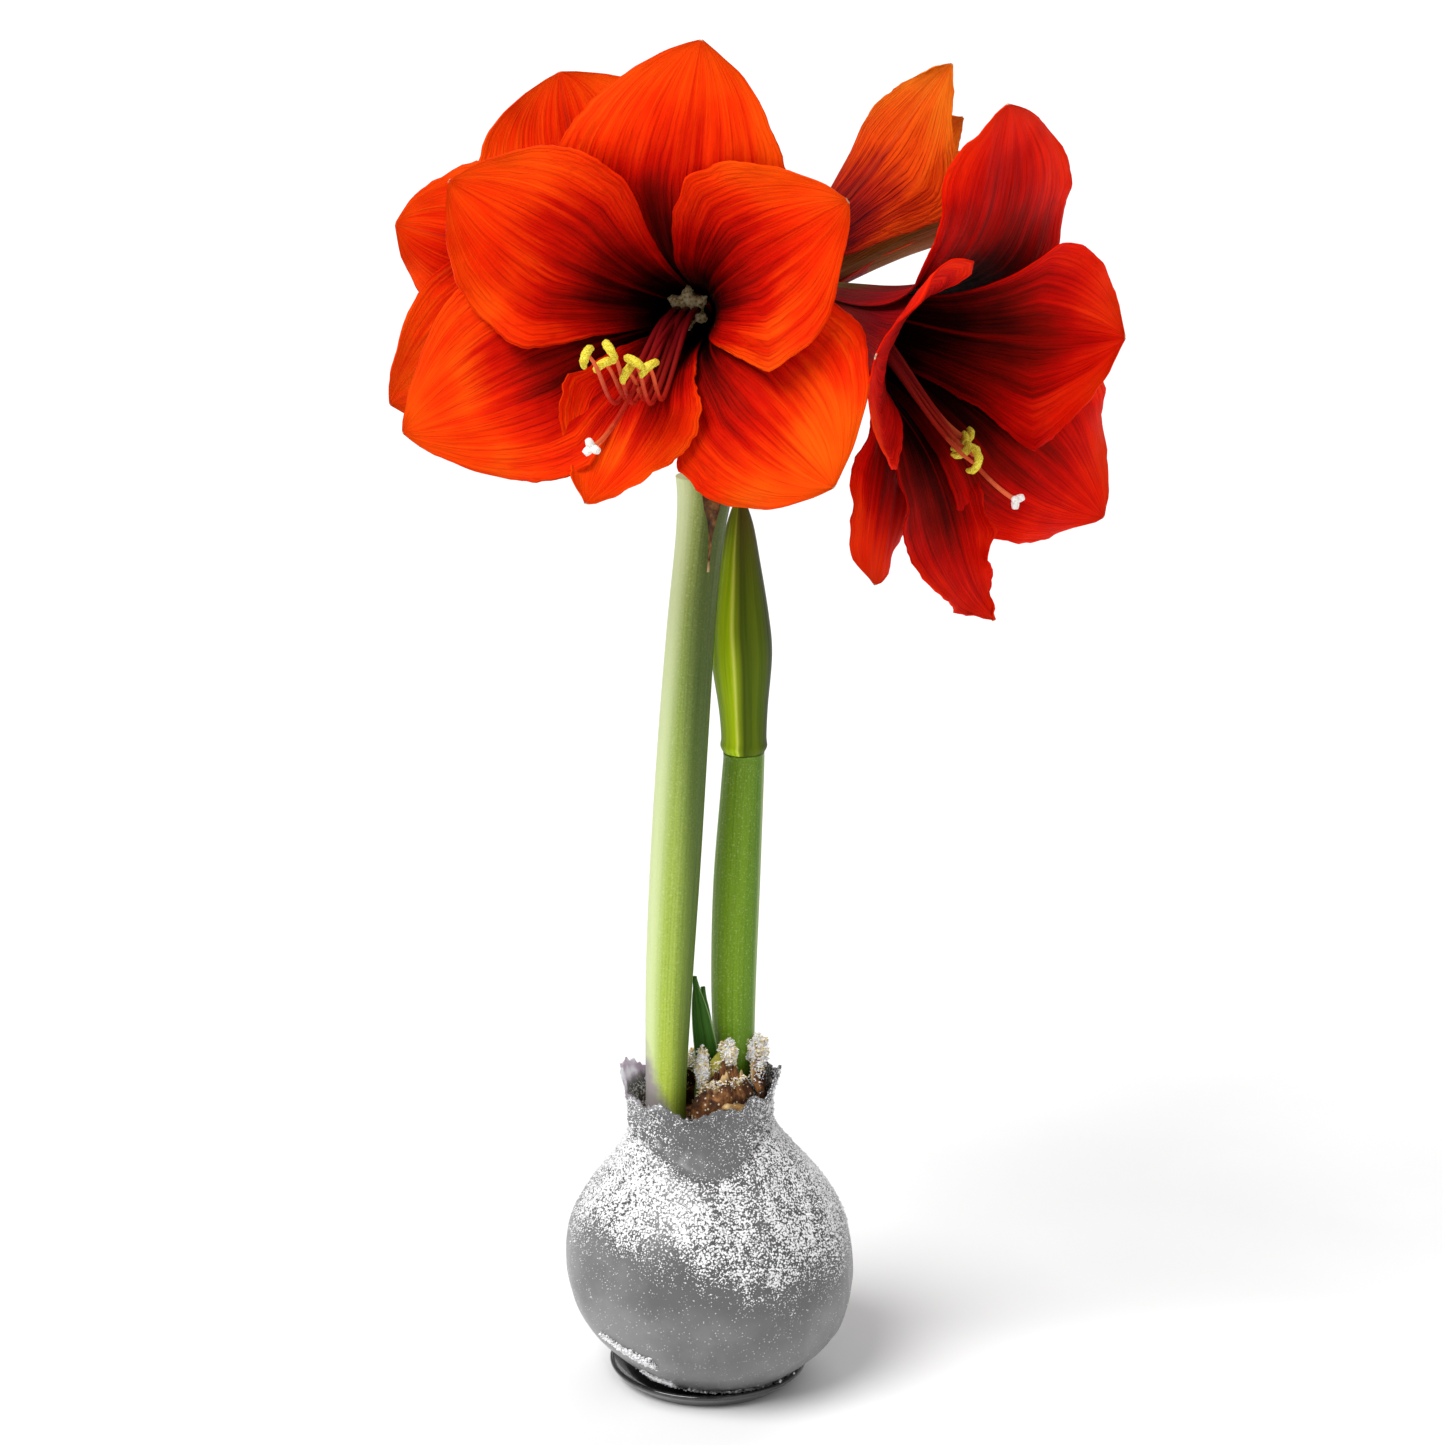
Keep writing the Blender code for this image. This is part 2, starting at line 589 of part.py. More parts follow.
def tepal_rows(bloom, tepal, rows, columns):
    """Rows of points over a tepal, from its claw in the throat to its tip."""
    forward, up, right = bloom_axes(bloom.axis)
    step = tepal.length * MM / rows
    along = TEPAL_ROOT
    out = THROAT_RADIUS + (WHORL_STEP if tepal.outer else 0.0) + TEPAL_ROOT * sin(radians(CUP_SLOPE))
    mouth, spread = radians(tepal.mouth), radians(tepal.spread)
    arc = claw_arc(bloom, tepal)
    lift, sense = (0.0, -1.0) if tepal.outer else (WHORL_LIFT, 1.0)
    surface = []
    for row in range(rows + 1):
        part = row / rows
        tilt = mouth + (spread - mouth) * smooth_step(part, 0.15, 0.80)
        if row:
            middle_part = (row - 0.5) / rows
            middle_tilt = mouth + (spread - mouth) * smooth_step(middle_part, 0.15, 0.80)
            along += cos(middle_tilt) * step
            out += sin(middle_tilt) * step
        turn = radians(tepal.angle + tepal.lean * part * part)
        radial = up * cos(turn) + right * sin(turn)
        across = right * cos(turn) - up * sin(turn)
        face = forward * sin(tilt) - radial * cos(tilt)
        lifted = along + lift * smooth_step(part, 0.15, 0.5)
        middle = millimetres(bloom.base) + forward * lifted + radial * out
        half = half_width(tepal, part, arc * out)
        nest = -0.30 if tepal.outer else 0.12
        curve = cos(tilt) / out * (1.0 + nest * smooth_step(part, 0.08, 0.45))
        waved = tepal.wave * MM * smooth_step(part, 0.4, 0.7) * (1.0 - smooth_step(part, 0.86, 1.0))
        line = []
        for column in range(columns + 1):
            side = 2.0 * column / columns - 1.0
            wide = half * side * (1.0 + tepal.skew * (1 if side > 0 else -1) * smooth_step(part, 0.1, 0.5))
            bend = min(max(curve * wide, -2.6), 2.6)
            ripple = sin(6 * pi * part + 1.9 * (1 if side > 0 else -1) + tepal.angle)
            wave = waved * abs(side) ** 2.2 * 0.75 * (ripple + sense)
            line.append(middle + across * (sin(bend) / curve) + face * ((1.0 - cos(bend)) / curve + wave))
        surface.append(line)
    return surface


def place_along(bloom, along, down=0.0, side=0.0):
    """A point in a bloom's own axes, in millimetres from the base of its cup."""
    forward, up, right = bloom_axes(bloom.axis)
    return millimetres(bloom.base) + (forward * along - up * down + right * side) * MM


def perianth(bloom, parts, work, material):
    """Six tepals in two whorls, joined in a short cup."""
    forward, up, right = bloom_axes(bloom.axis)
    middle = THROAT_RADIUS + 0.5 * WHORL_STEP
    slope = sin(radians(CUP_SLOPE)) * CUP_DEPTH
    profile = [
        (0.0, -CUP_HEEL), (OVARY_RADIUS, -CUP_HEEL), (middle + 0.5 * CUP_WALL, 2.0 * CUP_HEEL),
        (middle + 0.5 * CUP_WALL + slope * 0.9, CUP_DEPTH), (middle + slope - 0.3 * CUP_WALL, CUP_DEPTH),
        (middle - 0.5 * CUP_WALL, CUP_FLOOR), (0.0, CUP_FLOOR),
    ]
    form = bmesh.new()
    knots = [form.verts.new((radius, 0.0, height)) for radius, height in profile]
    for first, second in zip(knots, knots[1:]):
        form.edges.new((first, second))
    bmesh.ops.spin(
        form, geom=form.verts[:] + form.edges[:], cent=(0, 0, 0), axis=(0, 0, 1),
        angle=2 * pi, steps=CUP_SEGMENTS, use_merge=True,
    )
    bmesh.ops.remove_doubles(form, verts=form.verts, dist=0.01 * MM)
    for vertex in form.verts:
        spot = vertex.co.copy()
        vertex.co = millimetres(bloom.base) + right * spot.x + up * spot.y + forward * spot.z
    cup = add_object("cup", mesh_from(form, "cup"), work)
    blades = make_collection("tepals")
    for number, tepal in enumerate(bloom.tepals):
        blade(f"tepal_{number}", tepal_rows(bloom, tepal, BLADE_ROWS, BLADE_COLUMNS), BLADE_THICK, blades)
    combine(cup, blades, "UNION")
    return finish(cup, f"{bloom.name}_bloom", material, parts)


def stamen_route(bloom, order, points=6):
    """Centre line of one filament: side by side from the throat, hanging, then fanned and turned up."""
    fan = order - 0.5 * (STAMEN_COUNT - 1)
    length = bloom.reach * (1.0 - 0.035 * order + STAMEN_LENGTHS[order])
    lift = 1.1 if order % 2 else -1.1
    route = []
    for number in range(points + 1):
        part = number / points
        upturn = bloom.upturn * STAMEN_TURNS[order]
        sunk = smooth_step(part, 0.15, bloom.lowest) - upturn * smooth_step(part, 0.70, 1.0)
        down = bloom.droop * sunk - lift * (1.0 - 0.5 * part)
        side = bloom.side * part ** 1.6 + fan * (1.45 + 1.3 * part * part)
        route.append(place_along(bloom, FILAMENT_ROOT + length * part, down, side))
    return route


def style_route(bloom, points=7):
    """Centre line of the style, under the filaments and longer."""
    route = []
    for number in range(points + 1):
        part = number / points
        along = FILAMENT_ROOT + STYLE_SHARE * bloom.reach * part
        down = STYLE_SAG * bloom.droop * smooth_step(part, 0.15, 1.05) + 2.6
        route.append(place_along(bloom, along, down, STYLE_SHARE * bloom.side * part ** 1.6))
    return route


def stamens(bloom, parts, work, material):
    """Six filaments with anthers and a style with three lobes, on one button in the throat."""
    up, right = bloom_axes(bloom.axis)[1:]
    floor, rim = place_along(bloom, (CUP_FLOOR + GAP) / MM), place_along(bloom, BUTTON_TOP)
    button = tube("button", [floor, rim], [BUTTON_RADIUS, BUTTON_RADIUS], 3, work)
    group = make_collection("stamens")
    for order in range(STAMEN_COUNT):
        route = stamen_route(bloom, order)
        tube(f"filament_{order}", route, [STAMEN_RADIUS] * len(route), 0, group)
        heading = (route[-1] - route[-2]).normalized()
        lying = (up + right * (0.5 + 0.12 * order) - heading * heading.dot(up)).normalized()
        middle = route[-1] + heading * GAP
        ends = [middle + lying * ANTHER_HALF * side for side in (-1.0, 0.0, 1.0)]
        tube(f"anther_{order}", ends, [ANTHER_RADIUS * share for share in (0.5, 1.0, 0.5)], 0, group)
    route = style_route(bloom)
    tube("style", route, [STYLE_RADIUS] * len(route), 0, group)
    heading = (route[-1] - route[-2]).normalized()
    first = heading.orthogonal().normalized()
    second = heading.cross(first)
    for lobe in range(3):
        turn = 2 * pi * lobe / 3
        outward = first * cos(turn) + second * sin(turn)
        root = route[-1] - heading * 0.5 * STYLE_RADIUS
        ends = [root, root + (heading * 0.6 + outward) * LOBE_LENGTH]
        tube(f"lobe_{lobe}", ends, [1.1 * STYLE_RADIUS, 1.25 * STYLE_RADIUS], 0, group)
    combine(button, group, "UNION")
    return finish(button, f"{bloom.name}_stamens", material, parts)


def pedicel(bloom, parts, work, material):
    """A flower stalk from the scape's top to the ovary behind the cup."""
    forward = bloom_axes(bloom.axis)[0]
    start = Vector((bloom.foot[0] * MM, bloom.foot[1] * MM, SCAPE_TOP + GAP))
    ovary_end = millimetres(bloom.base) - forward * (CUP_HEEL + GAP)
    ovary_start = ovary_end - forward * OVARY_LENGTH
    reach = (ovary_start - start).length
    bend_low = start + Vector((0.0, 0.0, reach * 0.55))
    bend_high = ovary_start - forward * reach * 0.2
    points, radii = [start], [PEDICEL_RADIUS]
    start = start + Vector((0.0, 0.0, PEDICEL_RISE))
    for number in range(6):
        t = number / 6
        point = start * (1 - t) ** 3 + bend_low * 3 * t * (1 - t) ** 2
        point += bend_high * 3 * t * t * (1 - t) + ovary_start * t ** 3
        points.append(point)
        radii.append(PEDICEL_RADIUS)
    for part, radius in ((0.0, 0.66), (0.25, 0.92), (0.7, 1.0), (1.0, 0.86)):
        points.append(ovary_start.lerp(ovary_end, part))
        radii.append(OVARY_RADIUS * radius)
    item = tube("pedicel", points, radii, 2, work)
    return finish(item, f"{bloom.name}_pedicel", material, parts)


def main():
    for item in list(bpy.data.objects):
        bpy.data.objects.remove(item)
    parts = make_collection("waxed_amaryllis")
    work = make_collection("cutters")
    foot_dish(parts, work)
    wax_coat(parts, work)
    bulb(parts, work)
    leaf_shoots(parts, work)
    scapes_and_bud(parts, work)
    brown = make_material("dry_bract", (0.30, 0.16, 0.06), 0.8)
    for bract in BRACTS:
        withered_bract(bract, parts, work, brown)
    red = make_material("red_tepal", (0.75, 0.05, 0.01), 0.5)
    gold = make_material("filament_and_anther", (0.75, 0.25, 0.05), 0.6)
    stalk = make_material("stalk_green", (0.20, 0.30, 0.06), 0.5)
    for bloom in (FRONT_BLOOM, RIGHT_BLOOM, REAR_BLOOM, HALF_OPEN_BLOOM):
        perianth(bloom, parts, work, red)
        stamens(bloom, parts, work, gold)
        pedicel(bloom, parts, work, stalk)


main()
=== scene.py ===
"""A waxed amaryllis in bloom, dressed: petals, stamens, stalks, bud, torn bulb neck, wax, snow and dish.

Metres, +Z up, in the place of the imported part. The front of the plant is -Y.
"""

from collections import namedtuple
from math import cos, exp, pi, radians, sin
from random import Random

import bmesh
import bpy
from mathutils import Matrix, Vector, noise


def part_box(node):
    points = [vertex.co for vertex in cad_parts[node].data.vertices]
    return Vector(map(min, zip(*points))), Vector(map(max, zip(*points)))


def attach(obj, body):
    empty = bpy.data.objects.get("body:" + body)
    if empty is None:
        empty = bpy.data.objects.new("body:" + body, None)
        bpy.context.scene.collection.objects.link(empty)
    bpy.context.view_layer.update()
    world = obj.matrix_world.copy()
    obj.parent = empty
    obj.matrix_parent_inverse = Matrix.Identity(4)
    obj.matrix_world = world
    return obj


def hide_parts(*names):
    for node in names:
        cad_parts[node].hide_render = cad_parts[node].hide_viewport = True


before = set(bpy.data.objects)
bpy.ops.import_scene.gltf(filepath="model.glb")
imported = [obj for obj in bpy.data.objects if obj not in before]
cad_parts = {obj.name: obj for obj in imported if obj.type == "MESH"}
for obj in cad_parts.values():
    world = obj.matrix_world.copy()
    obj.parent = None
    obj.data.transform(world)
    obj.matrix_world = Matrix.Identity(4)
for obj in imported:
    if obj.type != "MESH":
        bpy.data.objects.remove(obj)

bl_info = {
    "name": "Waxed Amaryllis",
    "version": (1, 0, 0),
    "blender": (4, 5, 0),
    "location": "3D View > Sidebar > Amaryllis",
    "description": "Petals, stamens, stalks, bulb, wax and snow of a waxed amaryllis in bloom",
    "category": "Add Mesh",
}

MM = 0.001
PLACE_LAYER = "place"
SNOW_LAYER = "snow"

# Fineness of the meshes: columns round a piece, steps from knot to knot of a line, and rows and
# columns of a sheet
DISH_COLUMNS = 160
WAX_COLUMNS = 192
BULB_COLUMNS = 64
STALK_COLUMNS = 144
BUD_COLUMNS = 96
STAR_COLUMNS = 96
CUP_COLUMNS = 48
PEDICEL_COLUMNS = 40
LEAF_FOOT_COLUMNS = 32
ANTHER_COLUMNS = 26
FILAMENT_COLUMNS = 12
BULB_STEPS = 4
STALK_STEPS = 12
BUD_STEPS = 14
LEAF_FOOT_STEPS = 10
STAR_STEPS = 3
TORN_SCALE_MESH = (26, 60)
RIM_PEEL_MESH = (8, 30)
LIVE_SCALE_MESH = (10, 24)
LEAF_MESH = (48, 20)
BRACT_MESH = (40, 18)

# Stage: each light's name, place, spread in degrees and share of the key light's strength; metres
LIGHTS = [
    ("key_light", (-0.75, -0.70, 1.20), 38.0, 1.0),
    ("fill_light", (0.90, -0.80, 0.50), 60.0, 0.15),
    ("back_light", (0.35, 0.90, 0.80), 50.0, 0.25),
]
FLOOR_SIZE = 48.0
FLOOR_DROP = 0.05 * MM
CAMERA_PLACE = (0.005, -1.100, 0.530)
CAMERA_TILT = radians(75)
CAMERA_LENS = 85.0

# Foot dish
DISH_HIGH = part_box("foot_dish")[1]
DISH_RADIUS = DISH_HIGH.x
DISH_HEIGHT = DISH_HIGH.z
DISH_WALL = 1.6 * MM
DISH_FLOOR_RADIUS = 27.0 * MM
# The lip's points, in walls inwards from the rim and down from the top
DISH_LIP = [
    (2.2, 1.6), (1.0, 0.25), (0.75, 0.05), (0.45, 0.0), (0.1, 0.2), (0.0, 0.5), (0.1, 0.9), (0.4, 1.2),
]

# Wax coat: radius and height of its outside, in millimetres; a smooth line through these knots has
# WAX_STEPS points a knot, and the first WAX_UNDERSIDE of them lie under the bulb
WAX_THICK = 2.0 * MM
WAX_PROFILE = [
    (0.0, 1.9), (13.0, 1.9), (23.0, 2.6), (33.6, 9.0), (43.8, 20.0), (48.8, 32.0), (49.6, 44.0),
    (47.2, 57.0), (40.4, 70.0), (31.8, 81.0), (25.2, 89.5), (22.8, 95.0), (22.8, 101.0), (23.8, 107.0),
]
WAX_STEPS = 8
WAX_UNDERSIDE = 2 * WAX_STEPS
COLLAR_FROM = 78.0 * MM
COLLAR_TOP = 107.0 * MM
BULB_SWAY = 3.5 * MM
NECK_SWAY = 0.8 * MM
# Waves round the wax as height, count and shift: shares on its body, millimetres on its torn edge
BODY_WAVES = [(0.010, 2, 0.5), (0.007, 3, -1.0), (0.004, 11, 0.0)]
EDGE_WAVES = [(1.1, 5, 0.7), (0.8, 9, 2.0), (0.6, 14, 0.0)]
# Angles round the wax: its torn flaps, the low fronts of its edge and of the fold round its neck, and
# the thickest snow
LEFT_FLAP = radians(176)
RIGHT_FLAP = radians(8)
EDGE_FRONT = radians(262)
FOLD_FRONT = radians(272)
SNOW_HEAP = radians(222)

# Bulb: how far it lies inside the wax's outside, in millimetres, and its crown, as shares of the
# radius and millimetres of height over the last knot
BULB_INSET = 3.6
BULB_KNOTS = 11
BULB_CROWN = [(0.9, 2.5), (0.7, 4.6), (0.4, 6.0), (0.15, 6.6), (0.0, 6.7)]

# Torn scales round the crown. Crumple is how deep they crumple; crumbs are how many grains and crumbs
# lie on one, fall how soon they thin out below its edge, spill how far they reach outwards and straw
# the share of straw among them
CROWN_HEIGHT = 98.0 * MM
SCALE_THICK = 0.5 * MM
SCALE_ROOT = 5.0 * MM
TornScale = namedtuple(
    "TornScale", "centre radius start stop top lean crumple crumbs fall spill straw",
    defaults=(0.55, 420, 0.45, 1.0, 0.6),
)
TORN_SCALES = [
    TornScale((3.4, -1.5), 11.3, 222, 378, 112, -0.04, crumple=0.30, crumbs=300, fall=0.60),
    TornScale((4.2, 0.2), 7.2, 235, 345, 118, 0.06, crumbs=520, fall=0.40),
    TornScale((8.0, 2.8), 10.2, 325, 405, 117, 0.04, crumbs=1300, fall=0.16, spill=3.4, straw=0.15),
    TornScale((-1.0, 4.0), 12.5, 75, 170, 112, 0.04),
]
RIM_PEEL_FROM = 284
RIM_PEEL_SPAN = 21

# Snow: lumps in the neck, grains a lump, and streaks over the dish as their start and stop in degrees,
# low and high in millimetres, and count of grains
SnowLump = namedtuple("SnowLump", "centre size")
SNOW_LUMPS = [
    SnowLump((16.6, 5.2, 117.5), (4.4, 4.0, 5.2)), SnowLump((6.8, -4.0, 119.5), (3.2, 3.0, 4.6)),
    SnowLump((-1.8, -5.6, 114.5), (2.6, 2.2, 8.0)), SnowLump((-6.0, 14.0, 110.5), (3.6, 3.2, 3.4)),
]
LUMP_GRAINS = 760
SNOW_STREAKS = [(216, 243, 20.0, 27.0, 1300), (228, 244, 8.0, 13.5, 460), (200, 330, 3.6, 6.5, 300)]

# Seeds of the random numbers: the wax's notched edge, and the grains on the wax, in the neck and
# over the dish
NOTCH_SEED = 11
GRAIN_SEED = 29
LUMP_SEED = 31
STREAK_SEED = 37

# Young leaves, on one sheathing foot
LEAF_THICK = 1.2 * MM
LEAST_HALF_WIDTH = 0.35 * MM
LEAF_FOOT = [(-1.0, -1.0, 88.3, 3.8), (-1.0, -1.0, 104.0, 3.6), (-1.2, -1.0, 110.0, 2.6)]
Leaf = namedtuple("Leaf", "root tip width turn")
LEAVES = [
    Leaf((1.6, -2.2, 101.0), (-4.6, -1.0, 146.0), 8.2, 262),
    Leaf((2.2, -0.8, 101.0), (-1.6, 1.2, 141.5), 7.0, 300),
    Leaf((0.0, 0.6, 101.0), (-2.0, 4.0, 134.0), 7.0, 80),
]

# Scapes and closed bud: centre line and radius, in millimetres
MAIN_SCAPE = [
    (-14.4, -9.0, 88.3, 6.6), (-14.2, -9.0, 112.0, 6.9), (-12.9, -8.8, 150.0, 7.9),
    (-10.7, -8.0, 190.0, 8.4), (-8.2, -7.0, 230.0, 8.3), (-5.3, -6.0, 270.0, 7.9),
    (-2.6, -5.2, 298.0, 7.8), (-1.0, -5.0, 313.0, 8.8), (-1.0, -5.0, 320.0, 9.2),
]
SECOND_SCAPE = [
    (9.2, 8.5, 88.3, 6.5), (9.0, 8.5, 110.0, 6.8), (8.8, 8.8, 140.0, 7.6), (9.8, 9.4, 175.0, 7.9),
    (11.6, 10.3, 208.0, 7.2), (12.2, 10.6, 219.0, 6.9), (12.2, 10.6, 222.0, 6.9),
]
CLOSED_BUD = [
    (12.2, 10.6, 222.3, 7.2), (12.2, 10.6, 224.5, 8.3), (12.2, 10.6, 228.0, 8.2),
    (12.0, 10.6, 238.0, 8.9), (11.4, 10.7, 256.0, 11.0), (10.9, 10.9, 270.0, 10.2),
    (10.8, 11.1, 288.0, 7.2), (10.8, 11.3, 301.0, 4.6), (10.8, 11.4, 311.0, 0.8),
]
SCAPE_TOP = 320.0 * MM
# The ridge's place round the bud, as a share of a turn
BUD_RIDGE_TURN = 0.71

# Withered bracts
BRACT_THICK = 0.5 * MM
Bract = namedtuple("Bract", "name top bottom out width")
BRACTS = [
    Bract("withered_bract_front", (1.6, -14.75, 319.0), (0.4, -15.4, 290.0), (0.26, -0.97), 5.6),
    Bract("withered_bract_back", (-4.1, 4.55, 319.0), (-6.5, 7.8, 288.0), (-0.31, 0.95), 9.0),
]

# Blooms: the cup that holds the tepals, the ovary behind it and the stamens in it
THROAT_RADIUS = 7.0 * MM
WHORL_STEP = 1.5 * MM
WHORL_LIFT = 3.0 * MM
CLAW_SHARE = 0.47
CUP_HEEL = 1.0 * MM
CUP_SLOPE = 13.0
TEPAL_ROOT = 3.0 * MM
OVARY_LENGTH = 13.0 * MM
OVARY_RADIUS = 4.6 * MM
PEDICEL_RADIUS = 2.7 * MM
PEDICEL_RISE = 2.0 * MM
PEDICEL_STEPS = 24
OVARY_STEPS = 18
JOIN_GAP = 0.3 * MM
STAMEN_COUNT = 6
STAMEN_LENGTHS = (0.03, -0.05, 0.04, -0.06, 0.02, -0.03)
STAMEN_TURNS = (1.15, 0.90, 1.30, 0.75, 1.05, 0.85)
ANTHER_TURNS = (0.2, 1.6, -0.7, 0.5, -1.8, 0.9)
FILAMENT_RADIUS = 1.25
FILAMENT_TAPER = 0.70
STYLE_RADIUS = 0.75 * MM
BEND_FROM = 0.15
BEND_TO = 0.80
VEINS_A_SIDE = 17.0
STYLE_SHARE = 1.2
STYLE_SAG = 1.25
CROWN_STAR_ALONG = 6.4
STAR_RAISED = 1.4
STAR_DOME = [(4.8, 0.0), (7.4, 2.0), (7.0, 3.4), (5.0, 4.8), (2.4, 5.8), (0.0, 6.0)]
FILAMENT_ROOT = 2.2
ANTHER_HALF = 3.1 * MM
ANTHER_RADIUS = 1.35 * MM
ANTHER_CURL = 2.6 * MM
LOBE_LENGTH = 2.6 * MM

Tepal = namedtuple(
    "Tepal", "angle length width spread outer lean widest taper skew mouth wave frill",
    defaults=(False, 0.0, 0.60, 1.8, 0.0, 14.0, 2.6, 1.0),
)
Bloom = namedtuple("Bloom", "name base axis tepals foot droop lowest upturn reach side")

# Angles run clockwise from the top as seen into the mouth; lengths, widths, waves and frills are in
# millimetres. A bloom's foot is its pedicel's place on the scape; droop, lowest, upturn, reach and
# side shape its filaments: how far they sag, where, how far they turn up again, length and drift.
FRONT_BLOOM = Bloom(
    "front", (-4.0, -26.0, 376.0), (-0.215, -0.966, 0.14),
    [
        Tepal(10, 106, 72, 84, outer=True, widest=0.56, taper=2.1, skew=-0.06),
        Tepal(64, 92, 66, 78, lean=-4, widest=0.54, taper=2.0),
        Tepal(131, 98, 70, 84, outer=True, widest=0.62, taper=2.6, skew=-0.15),
        Tepal(188, 83, 44, 70, lean=9, frill=1.8),
        Tepal(243, 110, 68, 86, outer=True),
        Tepal(301, 97, 62, 80, taper=2.1),
    ],
    (-3.6, -8.6), 29.0, 0.85, 0.50, 86.0, -4.0,
)
RIGHT_BLOOM = Bloom(
    "right", (38.0, -6.0, 375.0), (0.692, -0.692, -0.208),
    [
        Tepal(362, 112, 60, 84, outer=True, lean=-7, taper=2.6, skew=0.25),
        Tepal(82, 91, 88, 56, widest=0.50, taper=2.2, skew=-0.15, frill=1.6),
        Tepal(129, 118, 70, 77, outer=True, frill=1.4),
        Tepal(185, 116, 38, 82, lean=-23, skew=0.35, mouth=20.0, wave=2.0, frill=3.4),
        Tepal(210, 97, 32, 76, outer=True, lean=-8, taper=5.0, frill=1.6),
        Tepal(284, 90, 76, 59),
    ],
    (3.8, -6.0), 26.5, 1.05, 0.0, 70.0, 4.0,
)
REAR_BLOOM = Bloom(
    "rear", (-17.0, 26.0, 370.0), (-0.27, 0.95, 0.05),
    [
        Tepal(22, 97, 70, 74, outer=True, lean=-8, widest=0.66, taper=3.0),
        Tepal(76, 106, 58, 70, taper=3.2, frill=1.8),
        Tepal(121, 120, 70, 76, outer=True),
        Tepal(166, 104, 42, 70),
        Tepal(236, 104, 56, 76, outer=True),
        Tepal(308, 92, 50, 70),
    ],
    (-4.6, -1.0), 22.0, 0.90, 0.40, 80.0, 2.0,
)
HALF_OPEN_BLOOM = Bloom(
    "half_open", (31.0, 30.0, 380.0), (0.78, 0.05, 0.62),
    [
        Tepal(
            318, 84, 50, 30, outer=True, lean=-6, widest=0.56, taper=1.25, skew=-0.28,
            mouth=16.0, wave=1.0,
        ),
        Tepal(5, 62, 30, 6, mouth=10.0, wave=1.0),
        Tepal(65, 72, 34, -2, outer=True, mouth=10.0, wave=1.0),
        Tepal(120, 64, 32, -2, mouth=9.0, wave=1.0),
        Tepal(180, 76, 36, 12, outer=True, mouth=12.0, wave=1.0),
        Tepal(240, 78, 44, 34, mouth=18.0, wave=1.0),
    ],
    (1.6, -0.6), 2.0, 1.0, 0.0, 46.0, 0.0,
)
BLOOMS = [FRONT_BLOOM, RIGHT_BLOOM, REAR_BLOOM, HALF_OPEN_BLOOM]

# One side of a petal: its colours from throat to margin, the tint of its veins, the colour and
# strength of its rib, how much light it lets through, the colour of its patches, and how much
# further out than usual its throat's colour reaches, which on the right bloom is painted shade.
PetalFace = namedtuple("PetalFace", "stops vein rib rib_share glow margin deep", defaults=(0.0,))

# Tints that a paint's own colours are multiplied by or fade to
PETAL_GLOSS = (1.0, 0.45, 0.2, 1.0)
PETAL_BLUSH = (0.72, 0.16, 0.20)
PETAL_THREAD = (0.70, 0.20, 0.24)
PETAL_TIP = (0.88, 0.62, 0.40)
STALK_SHADE = (0.58, 0.66, 0.44)
STALK_DOT = (0.70, 0.80, 0.38)
# Painted highlight on the tall stalk's left side
STALK_PAINTED_LIGHT = (0.66, 0.74, 0.42)
STALK_FILM = (0.27, 0.23, 0.25)
# Painted highlight on the short stalk's right edge
SECOND_STALK_PAINTED_LIGHT = (0.42, 0.54, 0.22)
BUD_SHADE = (0.50, 0.66, 0.35)
BUD_TIP = (0.10, 0.07, 0.02)
PAPER_THREAD = (0.35, 0.25, 0.18)
PAPER_FLAKE = (0.72, 0.60, 0.42)
PAPER_EDGE = (0.62, 0.43, 0.20)
LEAF_EDGE = (0.42, 0.62, 0.24)
LEAF_BASE = (0.20, 0.34, 0.06)
POLLEN_SHADE = (0.55, 0.36, 0.02)


def millimetres(point):
    """A point given in millimetres, in metres."""
    return Vector(point) * MM


def smooth_step(value, low=0.0, high=1.0):
    """Rises from 0 at low to 1 at high with level ends."""
    part = min(max((value - low) / (high - low), 0.0), 1.0)
    return part * part * (3.0 - 2.0 * part)


def bump_at(value, middle, width):
    """A round hump of height 1 about a middle value."""
    return exp(-(((value - middle) / width) ** 2))


def facing(angle, middle, width):
    """A round hump of height 1 about an angle, which may lie past a full turn."""
    return bump_at(sin((angle - middle) / 2), 0.0, width)


def waves(angle, table):
    """The height of several waves together at an angle."""
    return sum(height * sin(count * angle + shift) for height, count, shift in table)


def grain(point, size, seed=0.0):
    """Soft noise from about -1 to 1 with features of a given size."""
    return noise.noise(Vector(point) / size + Vector((seed, -1.7 * seed, 0.6 * seed)))


def curve_through(knots, steps):
    """Points on a smooth line through knots, which are tuples of any length."""
    line = []
    for index in range(len(knots) - 1):
        before, start = knots[max(index - 1, 0)], knots[index]
        end, after = knots[index + 1], knots[min(index + 2, len(knots) - 1)]
        for step in range(steps):
            t = step / steps
            point = []
            for a, b, c, d in zip(before, start, end, after):
                bend = (2 * a - 5 * b + 4 * c - d) * t * t + (3 * b - a - 3 * c + d) * t ** 3
                point.append(0.5 * (2 * b + (c - a) * t + bend))
            line.append(tuple(point))
    line.append(tuple(knots[-1]))
    return line


def new_form():
    """An empty bmesh whose vertices carry their place: across, along and a seed on a sheet, and the
    cosine and sine of the turn and the share of the length on a round piece."""
    form = bmesh.new()
    form.verts.layers.float_vector.new(PLACE_LAYER)
    return form


def add_sheet(form, rows, places, paint_index=0):
    """An open surface through rows of points."""
    layer = form.verts.layers.float_vector[PLACE_LAYER]
    knots = []
    for row, row_places in zip(rows, places):
        line = []
        for point, place in zip(row, row_places):
            knot = form.verts.new(point)
            knot[layer] = place
            line.append(knot)
        knots.append(line)
    for near, far in zip(knots, knots[1:]):
        for column in range(len(near) - 1):
            corners = (near[column], near[column + 1], far[column + 1], far[column])
            form.faces.new(corners).material_index = paint_index


